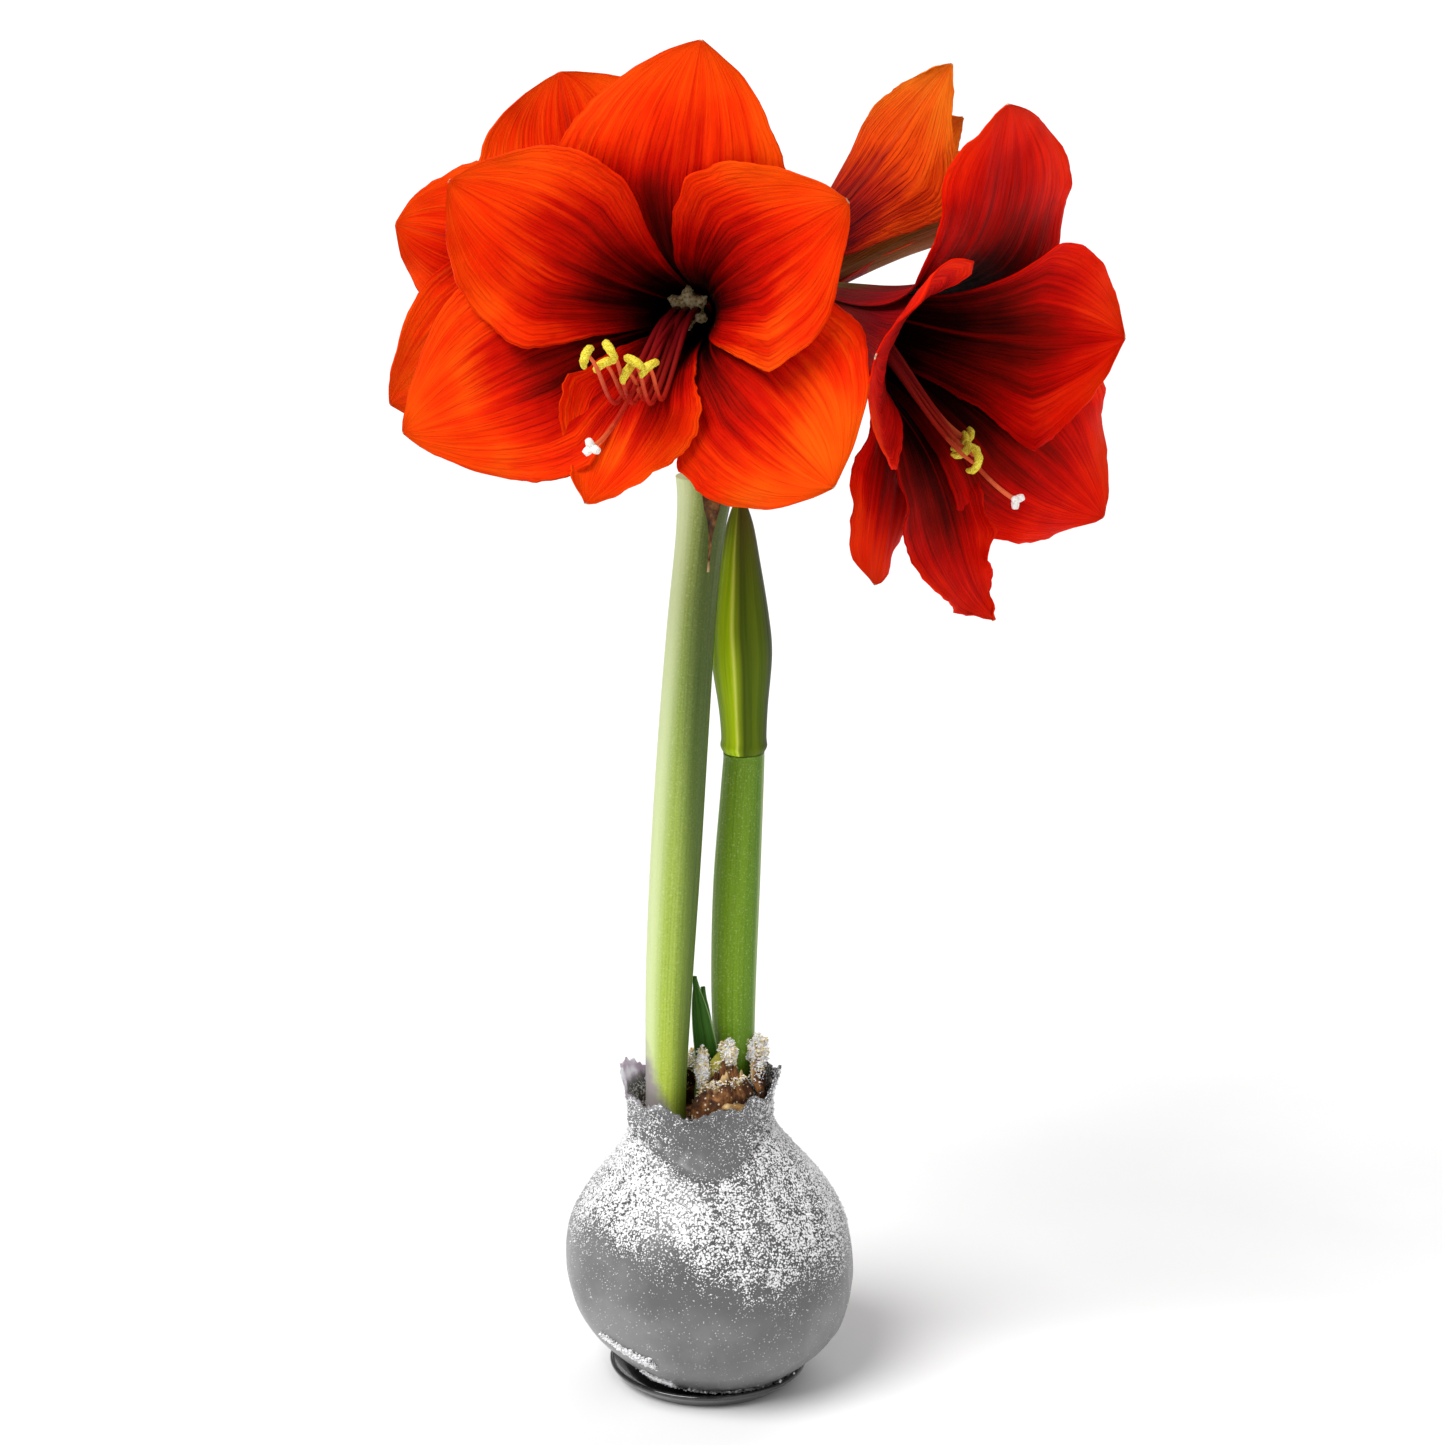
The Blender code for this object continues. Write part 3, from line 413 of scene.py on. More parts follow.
def join_rings(form, rings):
    """Faces between closed rings of vertices."""
    for low, high in zip(rings, rings[1:]):
        for column in range(len(low)):
            follow = (column + 1) % len(low)
            form.faces.new((low[column], low[follow], high[follow], high[column]))


def add_sleeve(form, path, radii, columns, shape=None):
    """A closed tube along a path; shape(turn, part) scales its radius round and along."""
    layer = form.verts.layers.float_vector[PLACE_LAYER]
    heading = (path[1] - path[0]).normalized()
    side = Vector((1.0, 0.0, 0.0)) - heading * heading.x
    if side.length < 0.2:
        side = Vector((0.0, 1.0, 0.0)) - heading * heading.y
    side.normalize()
    rings = []
    last = len(path) - 1
    for index, (point, radius) in enumerate(zip(path, radii)):
        ahead = path[min(index + 1, last)] - path[max(index - 1, 0)]
        heading = ahead.normalized()
        side = (side - heading * side.dot(heading)).normalized()
        other = heading.cross(side)
        ring = []
        for column in range(columns):
            turn = 2 * pi * column / columns
            scale = shape(turn, index / last) if shape else 1.0
            knot = form.verts.new(point + (side * cos(turn) + other * sin(turn)) * (radius * scale))
            knot[layer] = (cos(turn), sin(turn), index / last)
            ring.append(knot)
        rings.append(ring)
    join_rings(form, rings)
    for ring, point, part in ((rings[0], path[0], 0.0), (rings[-1], path[-1], 1.0)):
        middle = form.verts.new(point)
        middle[layer] = (0.0, 0.0, part)
        for column in range(columns):
            form.faces.new((ring[column], ring[(column + 1) % columns], middle))


def add_turned(form, profile, columns, place=Matrix.Identity(4), shape=None):
    """A turned surface from a profile of (radius, height), closed at radius 0."""
    layer = form.verts.layers.float_vector[PLACE_LAYER]
    rings = []
    for index, (radius, height) in enumerate(profile):
        part = index / (len(profile) - 1)
        count = 1 if radius < 0.001 * MM else columns
        ring = []
        for column in range(count):
            turn = 2 * pi * column / columns
            scale = shape(turn, part) if shape else 1.0
            spot = Vector((radius * scale * cos(turn), radius * scale * sin(turn), height))
            knot = form.verts.new(place @ spot)
            knot[layer] = (cos(turn), sin(turn), part)
            ring.append(knot)
        rings.append(ring)
    for low, high in zip(rings, rings[1:]):
        for column in range(columns):
            follow = (column + 1) % columns
            corners = []
            for ring, spot in ((low, column), (low, follow), (high, follow), (high, column)):
                knot = ring[spot % len(ring)]
                if knot not in corners:
                    corners.append(knot)
            if len(corners) > 2:
                form.faces.new(corners)


def finish_piece(form, name, paints, nodes, slot, outward=True):
    """Makes a bmesh a smooth piece; outward turns its faces outwards."""
    if outward:
        bmesh.ops.recalc_face_normals(form, faces=form.faces)
    mesh = bpy.data.meshes.new(name)
    form.to_mesh(mesh)
    form.free()
    mesh.shade_smooth()
    return place_piece(mesh, name, paints, nodes, slot)


def place_piece(mesh, name, paints, nodes, slot):
    """Makes a mesh an object that rides on the part and stands for CAD nodes."""
    piece = bpy.data.objects.new(name, mesh)
    bpy.context.scene.collection.objects.link(piece)
    for paint in paints:
        mesh.materials.append(paint)
    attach(piece, "root")
    if nodes:
        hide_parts(*nodes)
    return piece


def make_sheet(name, cad_node, slot, paint, thick, fineness, spot):
    """A thin sheet as a piece. From the share of the way across and the part of the way along it,
    spot(share, part) gives a point and its place."""
    rows, columns = fineness
    points, places = [], []
    for row in range(rows + 1):
        line = [spot(column / columns, row / rows) for column in range(columns + 1)]
        points.append([point for point, place in line])
        places.append([place for point, place in line])
    form = new_form()
    add_sheet(form, points, places)
    piece = finish_piece(form, name, [paint], [cad_node], slot, outward=False)
    thicken(piece, thick)


def thicken(piece, thick, group=None, back_paint=0):
    """Gives an open sheet its thickness on both sides of its surface."""
    shell = piece.modifiers.new("thickness", "SOLIDIFY")
    shell.thickness = thick
    shell.offset = 0.0
    shell.material_offset = back_paint
    if group:
        shell.vertex_group = group
        shell.thickness_vertex_group = 0.25
    return shell


def node(tree, kind, inputs=None, **settings):
    """Adds a shader node; an input is a value or another node's output."""
    made = tree.nodes.new(kind)
    for name, value in settings.items():
        setattr(made, name, value)
    for name, value in (inputs or {}).items():
        socket = made.inputs[name]
        if isinstance(value, bpy.types.NodeSocket):
            tree.links.new(value, socket)
        else:
            socket.default_value = value
    return made


def new_paint(name, roughness, specular=0.5, coat=0.0):
    """A material with its shader's constants set; returns it with its node tree and shader."""
    paint = bpy.data.materials.new(name)
    paint.use_nodes = True
    shader = paint.node_tree.nodes["Principled BSDF"]
    shader.inputs["Roughness"].default_value = roughness
    shader.inputs["Specular IOR Level"].default_value = specular
    shader.inputs["Coat Weight"].default_value = coat
    return paint, paint.node_tree, shader


def object_place(tree):
    """The place in metres, which moves with the piece."""
    return node(tree, "ShaderNodeTexCoord").outputs["Object"]


def piece_place(tree):
    """The piece's own place: across, along and seed on a sheet; cosine, sine and along when round."""
    read = node(tree, "ShaderNodeAttribute", attribute_name=PLACE_LAYER)
    split = node(tree, "ShaderNodeSeparateXYZ", {"Vector": read.outputs["Vector"]})
    return split.outputs["X"], split.outputs["Y"], split.outputs["Z"]


def calculate(tree, operation, first, second=0.0):
    """One step of arithmetic on factors, which are numbers or outputs."""
    return node(tree, "ShaderNodeMath", {0: first, 1: second}, operation=operation).outputs["Value"]


def times(tree, first, second):
    return calculate(tree, "MULTIPLY", first, second)


def plus(tree, first, second):
    return calculate(tree, "ADD", first, second)


def minus(tree, first, second):
    return calculate(tree, "SUBTRACT", first, second)


def combined(tree, x, y, z):
    """A place put together from three numbers or outputs."""
    return node(tree, "ShaderNodeCombineXYZ", {"X": x, "Y": y, "Z": z}).outputs["Vector"]


def cloud(tree, place, scale, detail=3.0, roughness=0.55, distortion=0.0):
    """Soft noise from 0 to 1; scale is features a metre, or for a piece's own place a unit."""
    made = node(tree, "ShaderNodeTexNoise", {
        "Vector": place, "Scale": scale, "Detail": detail, "Roughness": roughness,
        "Distortion": distortion,
    })
    return made.outputs["Fac"]


def specks(tree, place, scale, cover):
    """Small round spots from 0 to 1, in as many of the cells as the cover says."""
    cells = node(tree, "ShaderNodeTexVoronoi", {"Vector": place, "Scale": scale})
    chance = node(tree, "ShaderNodeSeparateColor", {"Color": cells.outputs["Color"]}).outputs["Red"]
    spot = grade(tree, cells.outputs["Distance"], 0.50, 0.34)
    return times(tree, spot, calculate(tree, "LESS_THAN", chance, cover))


def drawn_out(tree, place, lines, stretch):
    """A round piece's own place, for noise in fine lines along it."""
    east, north, along = place
    return combined(tree, times(tree, east, lines), times(tree, north, lines), times(tree, along, stretch))


def ramp(tree, factor, stops):
    """A colour from a factor, through stops of (position, colour)."""
    made = node(tree, "ShaderNodeValToRGB", {"Fac": factor})
    elements = made.color_ramp.elements
    while len(elements) < len(stops):
        elements.new(0.5)
    for element, (position, colour) in zip(elements, stops):
        element.position = position
        element.color = (*colour, 1.0)
    return made.outputs["Color"]


def grade(tree, factor, low, high, start=0.0, end=1.0):
    """A factor mapped from low..high to start..end, smoothly and within them."""
    made = node(tree, "ShaderNodeMapRange", {
        "Value": factor, "From Min": low, "From Max": high, "To Min": start, "To Max": end,
    }, interpolation_type="SMOOTHSTEP")
    return made.outputs["Result"]


def mixed(tree, factor, first, second, blend="MIX"):
    """Two colours mixed by a factor."""
    made = node(tree, "ShaderNodeMix", data_type="RGBA", blend_type=blend)
    for socket, value in ((made.inputs[0], factor), (made.inputs[6], first), (made.inputs[7], second)):
        if isinstance(value, bpy.types.NodeSocket):
            tree.links.new(value, socket)
        elif isinstance(value, float):
            socket.default_value = value
        else:
            socket.default_value = (*value[:3], 1.0)
    return made.outputs[2]


def shaded(tree, factor, colour, shade):
    """A colour multiplied by a shade, as far as a factor says."""
    return mixed(tree, factor, colour, shade, "MULTIPLY")


def tinted(colour, share):
    """A colour made darker or paler by a share."""
    return [channel * share for channel in colour]


def set_colour(tree, shader, colour):
    """Gives the shader its colour."""
    tree.links.new(colour, shader.inputs["Base Color"])


def set_relief(tree, shader, height, distance, strength=1.0):
    """Bump from a height of 0 to 1, with its depth in metres."""
    made = node(tree, "ShaderNodeBump", {"Height": height, "Distance": distance, "Strength": strength})
    tree.links.new(made.outputs["Normal"], shader.inputs["Normal"])


def let_light_through(tree, shader, colour, share):
    """Mixes in a translucent layer, as in a thin petal or leaf."""
    glow = node(tree, "ShaderNodeBsdfTranslucent", {"Color": colour})
    blend = node(tree, "ShaderNodeMixShader", {0: share})
    tree.links.new(shader.outputs["BSDF"], blend.inputs[1])
    tree.links.new(glow.outputs["BSDF"], blend.inputs[2])
    tree.links.new(blend.outputs["Shader"], tree.nodes["Material Output"].inputs["Surface"])


def petal_lines(tree, place, many, stretch, detail=2.0):
    """Noise drawn out along a sheet: many features over its half width, stretch over its length."""
    across, along, seed = place
    wide = times(tree, across, many)
    long = times(tree, along, stretch)
    return cloud(tree, combined(tree, wide, long, seed), 1.0, detail)


def petal_reach(tree, place, deep):
    """How far out a spot lies by its colour, from throat to margin, broken up along the petal."""
    across, reach = place[:2]
    for uneven, share in (
        (cloud(tree, object_place(tree), 46.0, 3.0), 0.28),
        (petal_lines(tree, place, 8.0, 1.3, 3.0), 0.52),
        (petal_lines(tree, place, 34.0, 2.4), 0.16),
    ):
        reach = plus(tree, reach, times(tree, uneven, share))
    margin = calculate(tree, "POWER", calculate(tree, "ABSOLUTE", across), 2.0)
    reach = plus(tree, reach, times(tree, margin, 0.26))
    return minus(tree, reach, 0.55 + deep)


def petal_veins(tree, place, share):
    """Fine parallel veins, bent and broken, and a net of cross veins near the margins."""
    across, along, seed = place
    bent = times(tree, petal_lines(tree, place, 5.0, 7.0), 1.6)
    phase = plus(tree, times(tree, across, VEINS_A_SIDE), bent)
    line = grade(tree, calculate(tree, "PINGPONG", phase, 0.5), 0.18, 0.02)
    breaks = grade(tree, petal_lines(tree, place, VEINS_A_SIDE, 8.0, 3.0), 0.36, 0.54)
    vein = times(tree, line, breaks)
    cells = node(tree, "ShaderNodeTexVoronoi", {
        "Vector": combined(tree, times(tree, across, 13.0), times(tree, along, 9.0), seed), "Scale": 1.0,
    }, feature="DISTANCE_TO_EDGE")
    net = times(tree, grade(tree, cells.outputs["Distance"], 0.10, 0.02), 0.7)
    outer = grade(tree, calculate(tree, "ABSOLUTE", across), 0.50, 0.85)
    vein = calculate(tree, "MAXIMUM", vein, times(tree, net, outer))
    fading = grade(tree, along, 1.0, 0.45, 0.35, 1.0)
    return times(tree, vein, times(tree, fading, share))


def petal_paint(name, face, vein_share):
    """A petal's face: colours from throat to margin, crimson streaks, veins, a rib and a pale tip."""
    paint, tree, shader = new_paint(name, 0.55, specular=0.06)
    shader.inputs["Specular Tint"].default_value = PETAL_GLOSS
    place = piece_place(tree)
    across, along = place[:2]
    reach = petal_reach(tree, place, face.deep)
    open_part = grade(tree, reach, 0.56, 0.84)
    threads = petal_lines(tree, place, 40.0, 3.0)
    blush = cloud(tree, object_place(tree), 26.0, 2.0)
    height = node(tree, "ShaderNodeSeparateXYZ", {"Vector": object_place(tree)}).outputs["Z"]
    lower = grade(tree, height, 0.42, 0.34, 0.35, 0.90)
    patches = times(tree, times(tree, grade(tree, blush, 0.46, 0.66), open_part), lower)
    bright = times(tree, times(tree, grade(tree, threads, 0.53, 0.68), open_part), 0.3)
    vein = petal_veins(tree, place, vein_share)
    rib = grade(tree, calculate(tree, "ABSOLUTE", across), 0.05, 0.0, 0.0, face.rib_share)
    colour = ramp(tree, reach, face.stops)
    colour = shaded(tree, grade(tree, blush, 0.50, 0.32, 0.0, 0.7), colour, PETAL_BLUSH)
    colour = mixed(tree, patches, colour, face.margin)
    colour = mixed(tree, bright, colour, face.margin)
    colour = shaded(tree, grade(tree, threads, 0.50, 0.34, 0.0, 0.35), colour, PETAL_THREAD)
    colour = shaded(tree, vein, colour, face.vein)
    colour = mixed(tree, rib, colour, face.rib)
    colour = mixed(tree, grade(tree, along, 0.9965, 0.9995, 0.0, 0.85), colour, PETAL_TIP)
    set_colour(tree, shader, colour)
    crepe = cloud(tree, object_place(tree), 900.0, 2.0)
    ridges = minus(tree, threads, times(tree, vein, 0.8))
    set_relief(tree, shader, plus(tree, ridges, times(tree, crepe, 0.35)), 0.5 * MM, 0.9)
    let_light_through(tree, shader, colour, face.glow)
    return paint


def red_petal_paints(looks, name="petal", deep=0.0):
    """The inside and outside of the open blooms' petals; deep ones, a painted shade copy for a bloom
    turned away from the light, are less green and dark further out from the throat.
    """
    # Painted shade: a deep copy has less green and so is more crimson, as for a bloom in shade.
    middle, bright, edge, orange = [
        (red, green * (1.0 - 4.4 * deep), blue) for red, green, blue in
        (looks.petal_middle, looks.petal_bright, looks.petal_edge, looks.petal_orange)
    ]
    # The throat's near-black is partly the petals' own dark base and partly painted shade deep in the cup.
    inside = PetalFace([
        (0.0, (0.003, 0.0, 0.0)), (0.18, looks.petal_throat), (0.31, (0.10, 0.001, 0.001)),
        (0.44, (0.28, 0.002, 0.001)), (0.58, middle), (0.76, bright), (1.0, edge),
    ], vein=(0.40, 0.05, 0.07), rib=middle, rib_share=0.30, glow=0.16, margin=orange, deep=deep)
    outside = PetalFace([
        (0.0, (0.10, 0.07, 0.02)), (0.07, (0.14, 0.02, 0.015)), (0.28, (0.24, 0.006, 0.012)),
        (0.52, middle), (0.80, bright), (1.0, edge),
    ], vein=(0.48, 0.14, 0.12), rib=(0.35, 0.02, 0.01), rib_share=0.30, glow=0.16, margin=orange)
    return [
        petal_paint(f"{name}_inside", inside, looks.vein_strength),
        petal_paint(f"{name}_outside", outside, looks.vein_strength),
    ]


def orange_petal_paints(looks):
    """The half open bloom's petals: both sides of the outer ones, then of the inner ones."""
    young = [
        (0.0, (0.06, 0.006, 0.010)), (0.16, (0.14, 0.005, 0.008)), (0.32, (0.40, 0.014, 0.006)),
        (0.48, (0.82, 0.065, 0.004)), (0.72, looks.half_open_orange), (1.0, (0.98, 0.20, 0.010)),
    ]
    olive = [
        (0.0, (0.08, 0.020, 0.006)), (0.30, (0.24, 0.080, 0.012)), (0.62, (0.42, 0.15, 0.018)),
        (0.82, (0.54, 0.13, 0.014)), (1.0, (0.86, 0.11, 0.006)),
    ]
    tan, straw = (0.98, 0.25, 0.012), (0.62, 0.33, 0.08)
    inside = PetalFace(
        young, vein=(0.42, 0.08, 0.07), rib=(0.5, 0.05, 0.02), rib_share=0.2, glow=0.12, margin=tan,
    )
    outside = PetalFace(
        young, vein=(0.50, 0.12, 0.06), rib=(0.5, 0.06, 0.02), rib_share=0.25, glow=0.10, margin=tan,
        deep=0.05,
    )
    ribbed = PetalFace(
        olive, vein=(0.30, 0.20, 0.14), rib=(0.16, 0.10, 0.03), rib_share=0.6, glow=0.08, margin=straw,
    )
    inner = petal_paint("young_petal_inside", inside, looks.vein_strength)
    outer = petal_paint("young_petal_outside", outside, 1.5 * looks.vein_strength)
    return [inner, outer, inner, petal_paint("olive_petal_outside", ribbed, looks.vein_strength)]


def stalk_paint(name, stops, shade, painted_shade_rise=0.0):
    """A green stalk: colours from foot to top, fine soft ribs and a faint grain, and painted shade that
    darkens its east side; the last argument is how much wider that painted shade grows towards the top."""
    paint, tree, shader = new_paint(name, 0.42, specular=0.22)
    place = piece_place(tree)
    east, along = place[0], place[2]
    ribs = cloud(tree, drawn_out(tree, place, 11.0, 3.0), 1.0, 4.0, 0.65)
    patches = cloud(tree, object_place(tree), 30.0, 4.0)
    dots = cloud(tree, object_place(tree), 1500.0, 2.0)
    shifted = minus(tree, plus(tree, along, times(tree, patches, 0.10)), 0.05)
    # Painted shade: one side, on the stalks the east side away from the key light, is darkened with the shade
    # colour, over more of it higher up.
    away = plus(tree, east, grade(tree, along, 0.25, 0.65, 0.0, painted_shade_rise))
    colour = ramp(tree, shifted, stops)
    colour = shaded(tree, grade(tree, ribs, 0.54, 0.34, 0.0, 0.5), colour, STALK_SHADE)
    colour = mixed(tree, times(tree, grade(tree, dots, 0.56, 0.70), 0.22), colour, STALK_DOT)
    colour = shaded(tree, grade(tree, dots, 0.46, 0.32, 0.0, 0.4), colour, STALK_SHADE)
    colour = shaded(tree, grade(tree, away, 0.05, 0.90, 0.0, 0.95), colour, shade)
    set_colour(tree, shader, colour)
    set_relief(tree, shader, plus(tree, ribs, times(tree, dots, 0.3)), 0.3 * MM, 0.8)
    return paint, tree, shader, colour


def main_stalk_paint(looks):
    """The tall stalk's skin: painted shade on its right side, a painted highlight along its left side
    and the wax film that creeps up its foot on the left.
    """
    stops = [
        (0.0, (0.34, 0.36, 0.05)), (0.12, (0.40, 0.50, 0.05)), (0.26, (0.36, 0.48, 0.07)),
        (0.55, looks.main_scape_green), (1.0, (0.30, 0.37, 0.10)),
    ]
    # The last two values are the painted shade's colour and how much wider it grows towards the top.
    paint, tree, shader, colour = stalk_paint("main_stalk_skin", stops, (0.25, 0.32, 0.18), 0.50)
    place = piece_place(tree)
    left, along = times(tree, place[0], -1.0), place[2]
    patches = cloud(tree, object_place(tree), 260.0, 3.0)
    height = minus(tree, plus(tree, along, times(tree, patches, 0.05)), times(tree, left, 0.075))
    # Painted light: the left side, towards the key light, is paled as a painted highlight.
    colour = mixed(tree, grade(tree, left, 0.20, 0.85, 0.0, 0.72), colour, STALK_PAINTED_LIGHT)
    colour = mixed(tree, grade(tree, height, 0.150, 0.092, 0.0, 0.92), colour, STALK_FILM)
    set_colour(tree, shader, colour)
    return paint


def bud_paint(looks):
    """The closed bud: a bright yellow ridge between a yellow-green face and a dark green one, partly its
    own greens and partly painted: painted light on the left face, a painted highlight on the ridge and
    painted shade on the right face.
    """
    paint, tree, shader = new_paint("closed_bud_skin", 0.45, specular=0.08)
    place = piece_place(tree)
    east, north, along = place
    turn = times(tree, calculate(tree, "ARCTAN2", north, east), 0.5 / pi)
    bent = cloud(tree, combined(tree, 0.0, 0.0, times(tree, along, 3.0)), 1.0, 1.0)
    share = plus(tree, plus(tree, turn, 0.49), times(tree, bent, 0.03))
    # Round the bud: its own greens with painted light on the left face, a painted highlight on the ridge and
    # painted shade on the right face.
    greens_and_painted_light = ramp(tree, share, [
        (0.0, (0.07, 0.12, 0.006)), (0.06, (0.18, 0.28, 0.006)), (0.13, looks.bud_lit_face),
        (0.198, (0.60, 0.82, 0.008)), (0.212, looks.bud_ridge_highlight), (0.226, (0.28, 0.38, 0.008)),
        (0.255, (0.07, 0.11, 0.003)), (0.34, (0.11, 0.17, 0.003)), (0.45, (0.035, 0.055, 0.003)),
        (1.0, (0.07, 0.12, 0.006)),
    ])
    ribs = cloud(tree, drawn_out(tree, place, 7.0, 2.0), 1.0, 3.0)
    colour = shaded(tree, grade(tree, ribs, 0.56, 0.32, 0.0, 0.6), greens_and_painted_light, BUD_SHADE)
    colour = mixed(tree, grade(tree, along, 0.62, 0.98, 0.0, 0.7), colour, BUD_TIP)
    set_colour(tree, shader, colour)
    set_relief(tree, shader, ribs, 0.35 * MM, 0.8)
    return paint


def papery_paint(name, dark, middle, pale, scale=1.0, flaked=0.12):
    """Dry bulb skin or bract: mottled brown with straw threads, cream flakes and worn straw edges."""
    paint, tree, shader = new_paint(name, 0.72, specular=0.25)
    across, along, seed = piece_place(tree)
    blotches = cloud(tree, object_place(tree), 190.0 * scale, 5.0, 0.62, 0.4)
    threads = cloud(tree, combined(tree, times(tree, across, 50.0), times(tree, along, 3.0), seed), 1.0, 2.0)
    flakes = specks(tree, object_place(tree), 1100.0, flaked)
    worn = grade(tree, blotches, 0.30, 0.55, 0.45, 1.0)
    colour = ramp(tree, blotches, [(0.32, dark), (0.50, middle), (0.66, pale)])
    colour = shaded(tree, grade(tree, threads, 0.52, 0.34, 0.0, 0.6), colour, PAPER_THREAD)
    colour = mixed(tree, times(tree, flakes, 0.8), colour, PAPER_FLAKE)
    colour = mixed(tree, times(tree, grade(tree, along, 0.84, 0.97, 0.0, 0.9), worn), colour, PAPER_EDGE)
    set_colour(tree, shader, colour)
    set_relief(tree, shader, plus(tree, blotches, threads), 0.5 * MM, 0.8)
    return paint


def leaf_paint(looks):
    """A young leaf: dark green with pale edges and long fine lines."""
    paint, tree, shader = new_paint("young_leaf_skin", 0.42, specular=0.15)
    across, along, seed = piece_place(tree)
    lines = cloud(tree, combined(tree, times(tree, across, 14.0), times(tree, along, 1.2), seed), 1.0, 2.0)
    edge = grade(tree, calculate(tree, "ABSOLUTE", across), 0.86, 0.98, 0.0, 0.75)
    colour = ramp(tree, lines, [(0.3, (0.022, 0.080, 0.008)), (0.6, looks.leaf_green)])
    colour = mixed(tree, edge, colour, LEAF_EDGE)
    colour = mixed(tree, grade(tree, along, 0.16, 0.0, 0.0, 0.6), colour, LEAF_BASE)
    set_colour(tree, shader, colour)
    set_relief(tree, shader, lines, 0.2 * MM, 0.6)
    let_light_through(tree, shader, colour, 0.12)
    return paint


def wax_tone(tree, place, east, height, wax_grey):
    """Cloudy wax, darker in a band round its middle and paler at the lower left with a painted sheen of
    light.
    """
    band = times(tree, grade(tree, height, 0.034, 0.048), grade(tree, height, 0.072, 0.058))
    band = times(tree, band, grade(tree, east, -0.040, 0.0))
    # Painted light: a sheen that pales the wax at the lower left, towards the key light.
    painted_sheen = times(tree, grade(tree, height, 0.052, 0.024), grade(tree, east, 0.004, -0.020))
    tone = plus(tree, cloud(tree, place, 42.0, 4.0, 0.6), times(tree, painted_sheen, 0.20))
    tone = minus(tree, tone, times(tree, band, 0.24))
    dark, pale = tinted(wax_grey, 0.72), tinted(wax_grey, 1.45)
    return ramp(tree, tone, [(0.30, dark), (0.52, wax_grey), (0.72, pale)])


def snow_dust(tree, place, cover):
    """Snow too fine to be grains of its own, from 0 to 1: a broken crust and small specks."""
    cells = node(tree, "ShaderNodeTexVoronoi", {"Vector": place, "Scale": 1150.0}).outputs["Distance"]
    chips = times(tree, minus(tree, 0.95, cells), 0.45)
    crust = plus(tree, times(tree, cloud(tree, place, 800.0, 4.0, 0.72), 0.55), chips)
    crust = grade(tree, plus(tree, crust, times(tree, cover, 0.305)), 0.685, 0.725)
    fine = specks(tree, place, 2300.0, plus(tree, times(tree, cover, 0.30), 0.02))
    return calculate(tree, "MAXIMUM", crust, fine)


def wax_paint(looks):
    """Grey wax with a soft gloss, a thin pale flap at the left of its rim with painted light, painted
    shade in the fold round its neck and above it, and snow dust with painted shade where it is covered."""
    paint, tree, shader = new_paint("grey_wax", 0.38, specular=0.5, coat=0.15)
    shader.inputs["Coat Roughness"].default_value = 0.3
    place = object_place(tree)
    split = node(tree, "ShaderNodeSeparateXYZ", {"Vector": place})
    east, height = split.outputs["X"], split.outputs["Z"]
    # Painted shade: the fold round the neck and the band above it are darkened where shade falls.
    painted_fold_shade = times(tree, piece_place(tree)[2], 0.55)
    thin_flap = times(tree, grade(tree, height, 0.104, 0.109), grade(tree, east, -0.012, -0.020))
    cover = node(tree, "ShaderNodeAttribute", attribute_name=SNOW_LAYER).outputs["Fac"]
    cover = times(tree, cover, minus(tree, 1.0, thin_flap))
    # The thin flap is painted pale: partly the thin film's own paleness, partly painted light where it lies
    # in shade.
    film = ramp(tree, cloud(tree, place, 240.0, 4.0), [(0.38, (0.68, 0.60, 0.68)), (0.62, (0.97, 0.98, 1.0))])
    white = snow_dust(tree, place, cover)
    colour = wax_tone(tree, place, east, height, looks.wax_grey)
    colour = mixed(tree, thin_flap, colour, film)
    colour = mixed(tree, painted_fold_shade, colour, tinted(looks.wax_grey, 0.30))
    # Painted shade: the wax is darker where snow covers it, as shade falls between the grains.
    colour = mixed(tree, grade(tree, cover, 0.2, 0.8, 0.0, 0.75), colour, tinted(looks.wax_grey, 0.35))
    colour = mixed(tree, white, colour, looks.snow_white)
    set_colour(tree, shader, colour)
    tree.links.new(grade(tree, white, 0.0, 1.0, 0.36, 0.85), shader.inputs["Roughness"])
    pits = cloud(tree, place, 420.0, 3.0)
    set_relief(tree, shader, plus(tree, times(tree, pits, 0.35), white), 0.3 * MM, 0.8)
    let_light_through(tree, shader, colour, times(tree, thin_flap, 0.80))
    return paint


def snow_paint(looks):
    """Loose white grains, slightly uneven in tone."""
    paint, tree, shader = new_paint("snow_grains", 0.62, specular=0.4)
    tones = cloud(tree, object_place(tree), 700.0, 2.0)
    colour = ramp(tree, tones, [(0.3, (0.72, 0.72, 0.73)), (0.6, looks.snow_white)])
    set_colour(tree, shader, colour)
    set_relief(tree, shader, cloud(tree, object_place(tree), 3200.0, 2.0), 0.1 * MM, 0.8)
    return paint


def crumb_paint():
    """Straw crumbs of torn skin among the snow."""
    paint, tree, shader = new_paint("straw_crumbs", 0.75, specular=0.25)
    tones = cloud(tree, object_place(tree), 800.0, 3.0)
    set_colour(tree, shader, ramp(tree, tones, [
        (0.3, (0.40, 0.25, 0.08)), (0.48, (0.78, 0.64, 0.32)), (0.62, (0.92, 0.88, 0.70)),
    ]))
    set_relief(tree, shader, tones, 0.2 * MM, 0.8)
    return paint


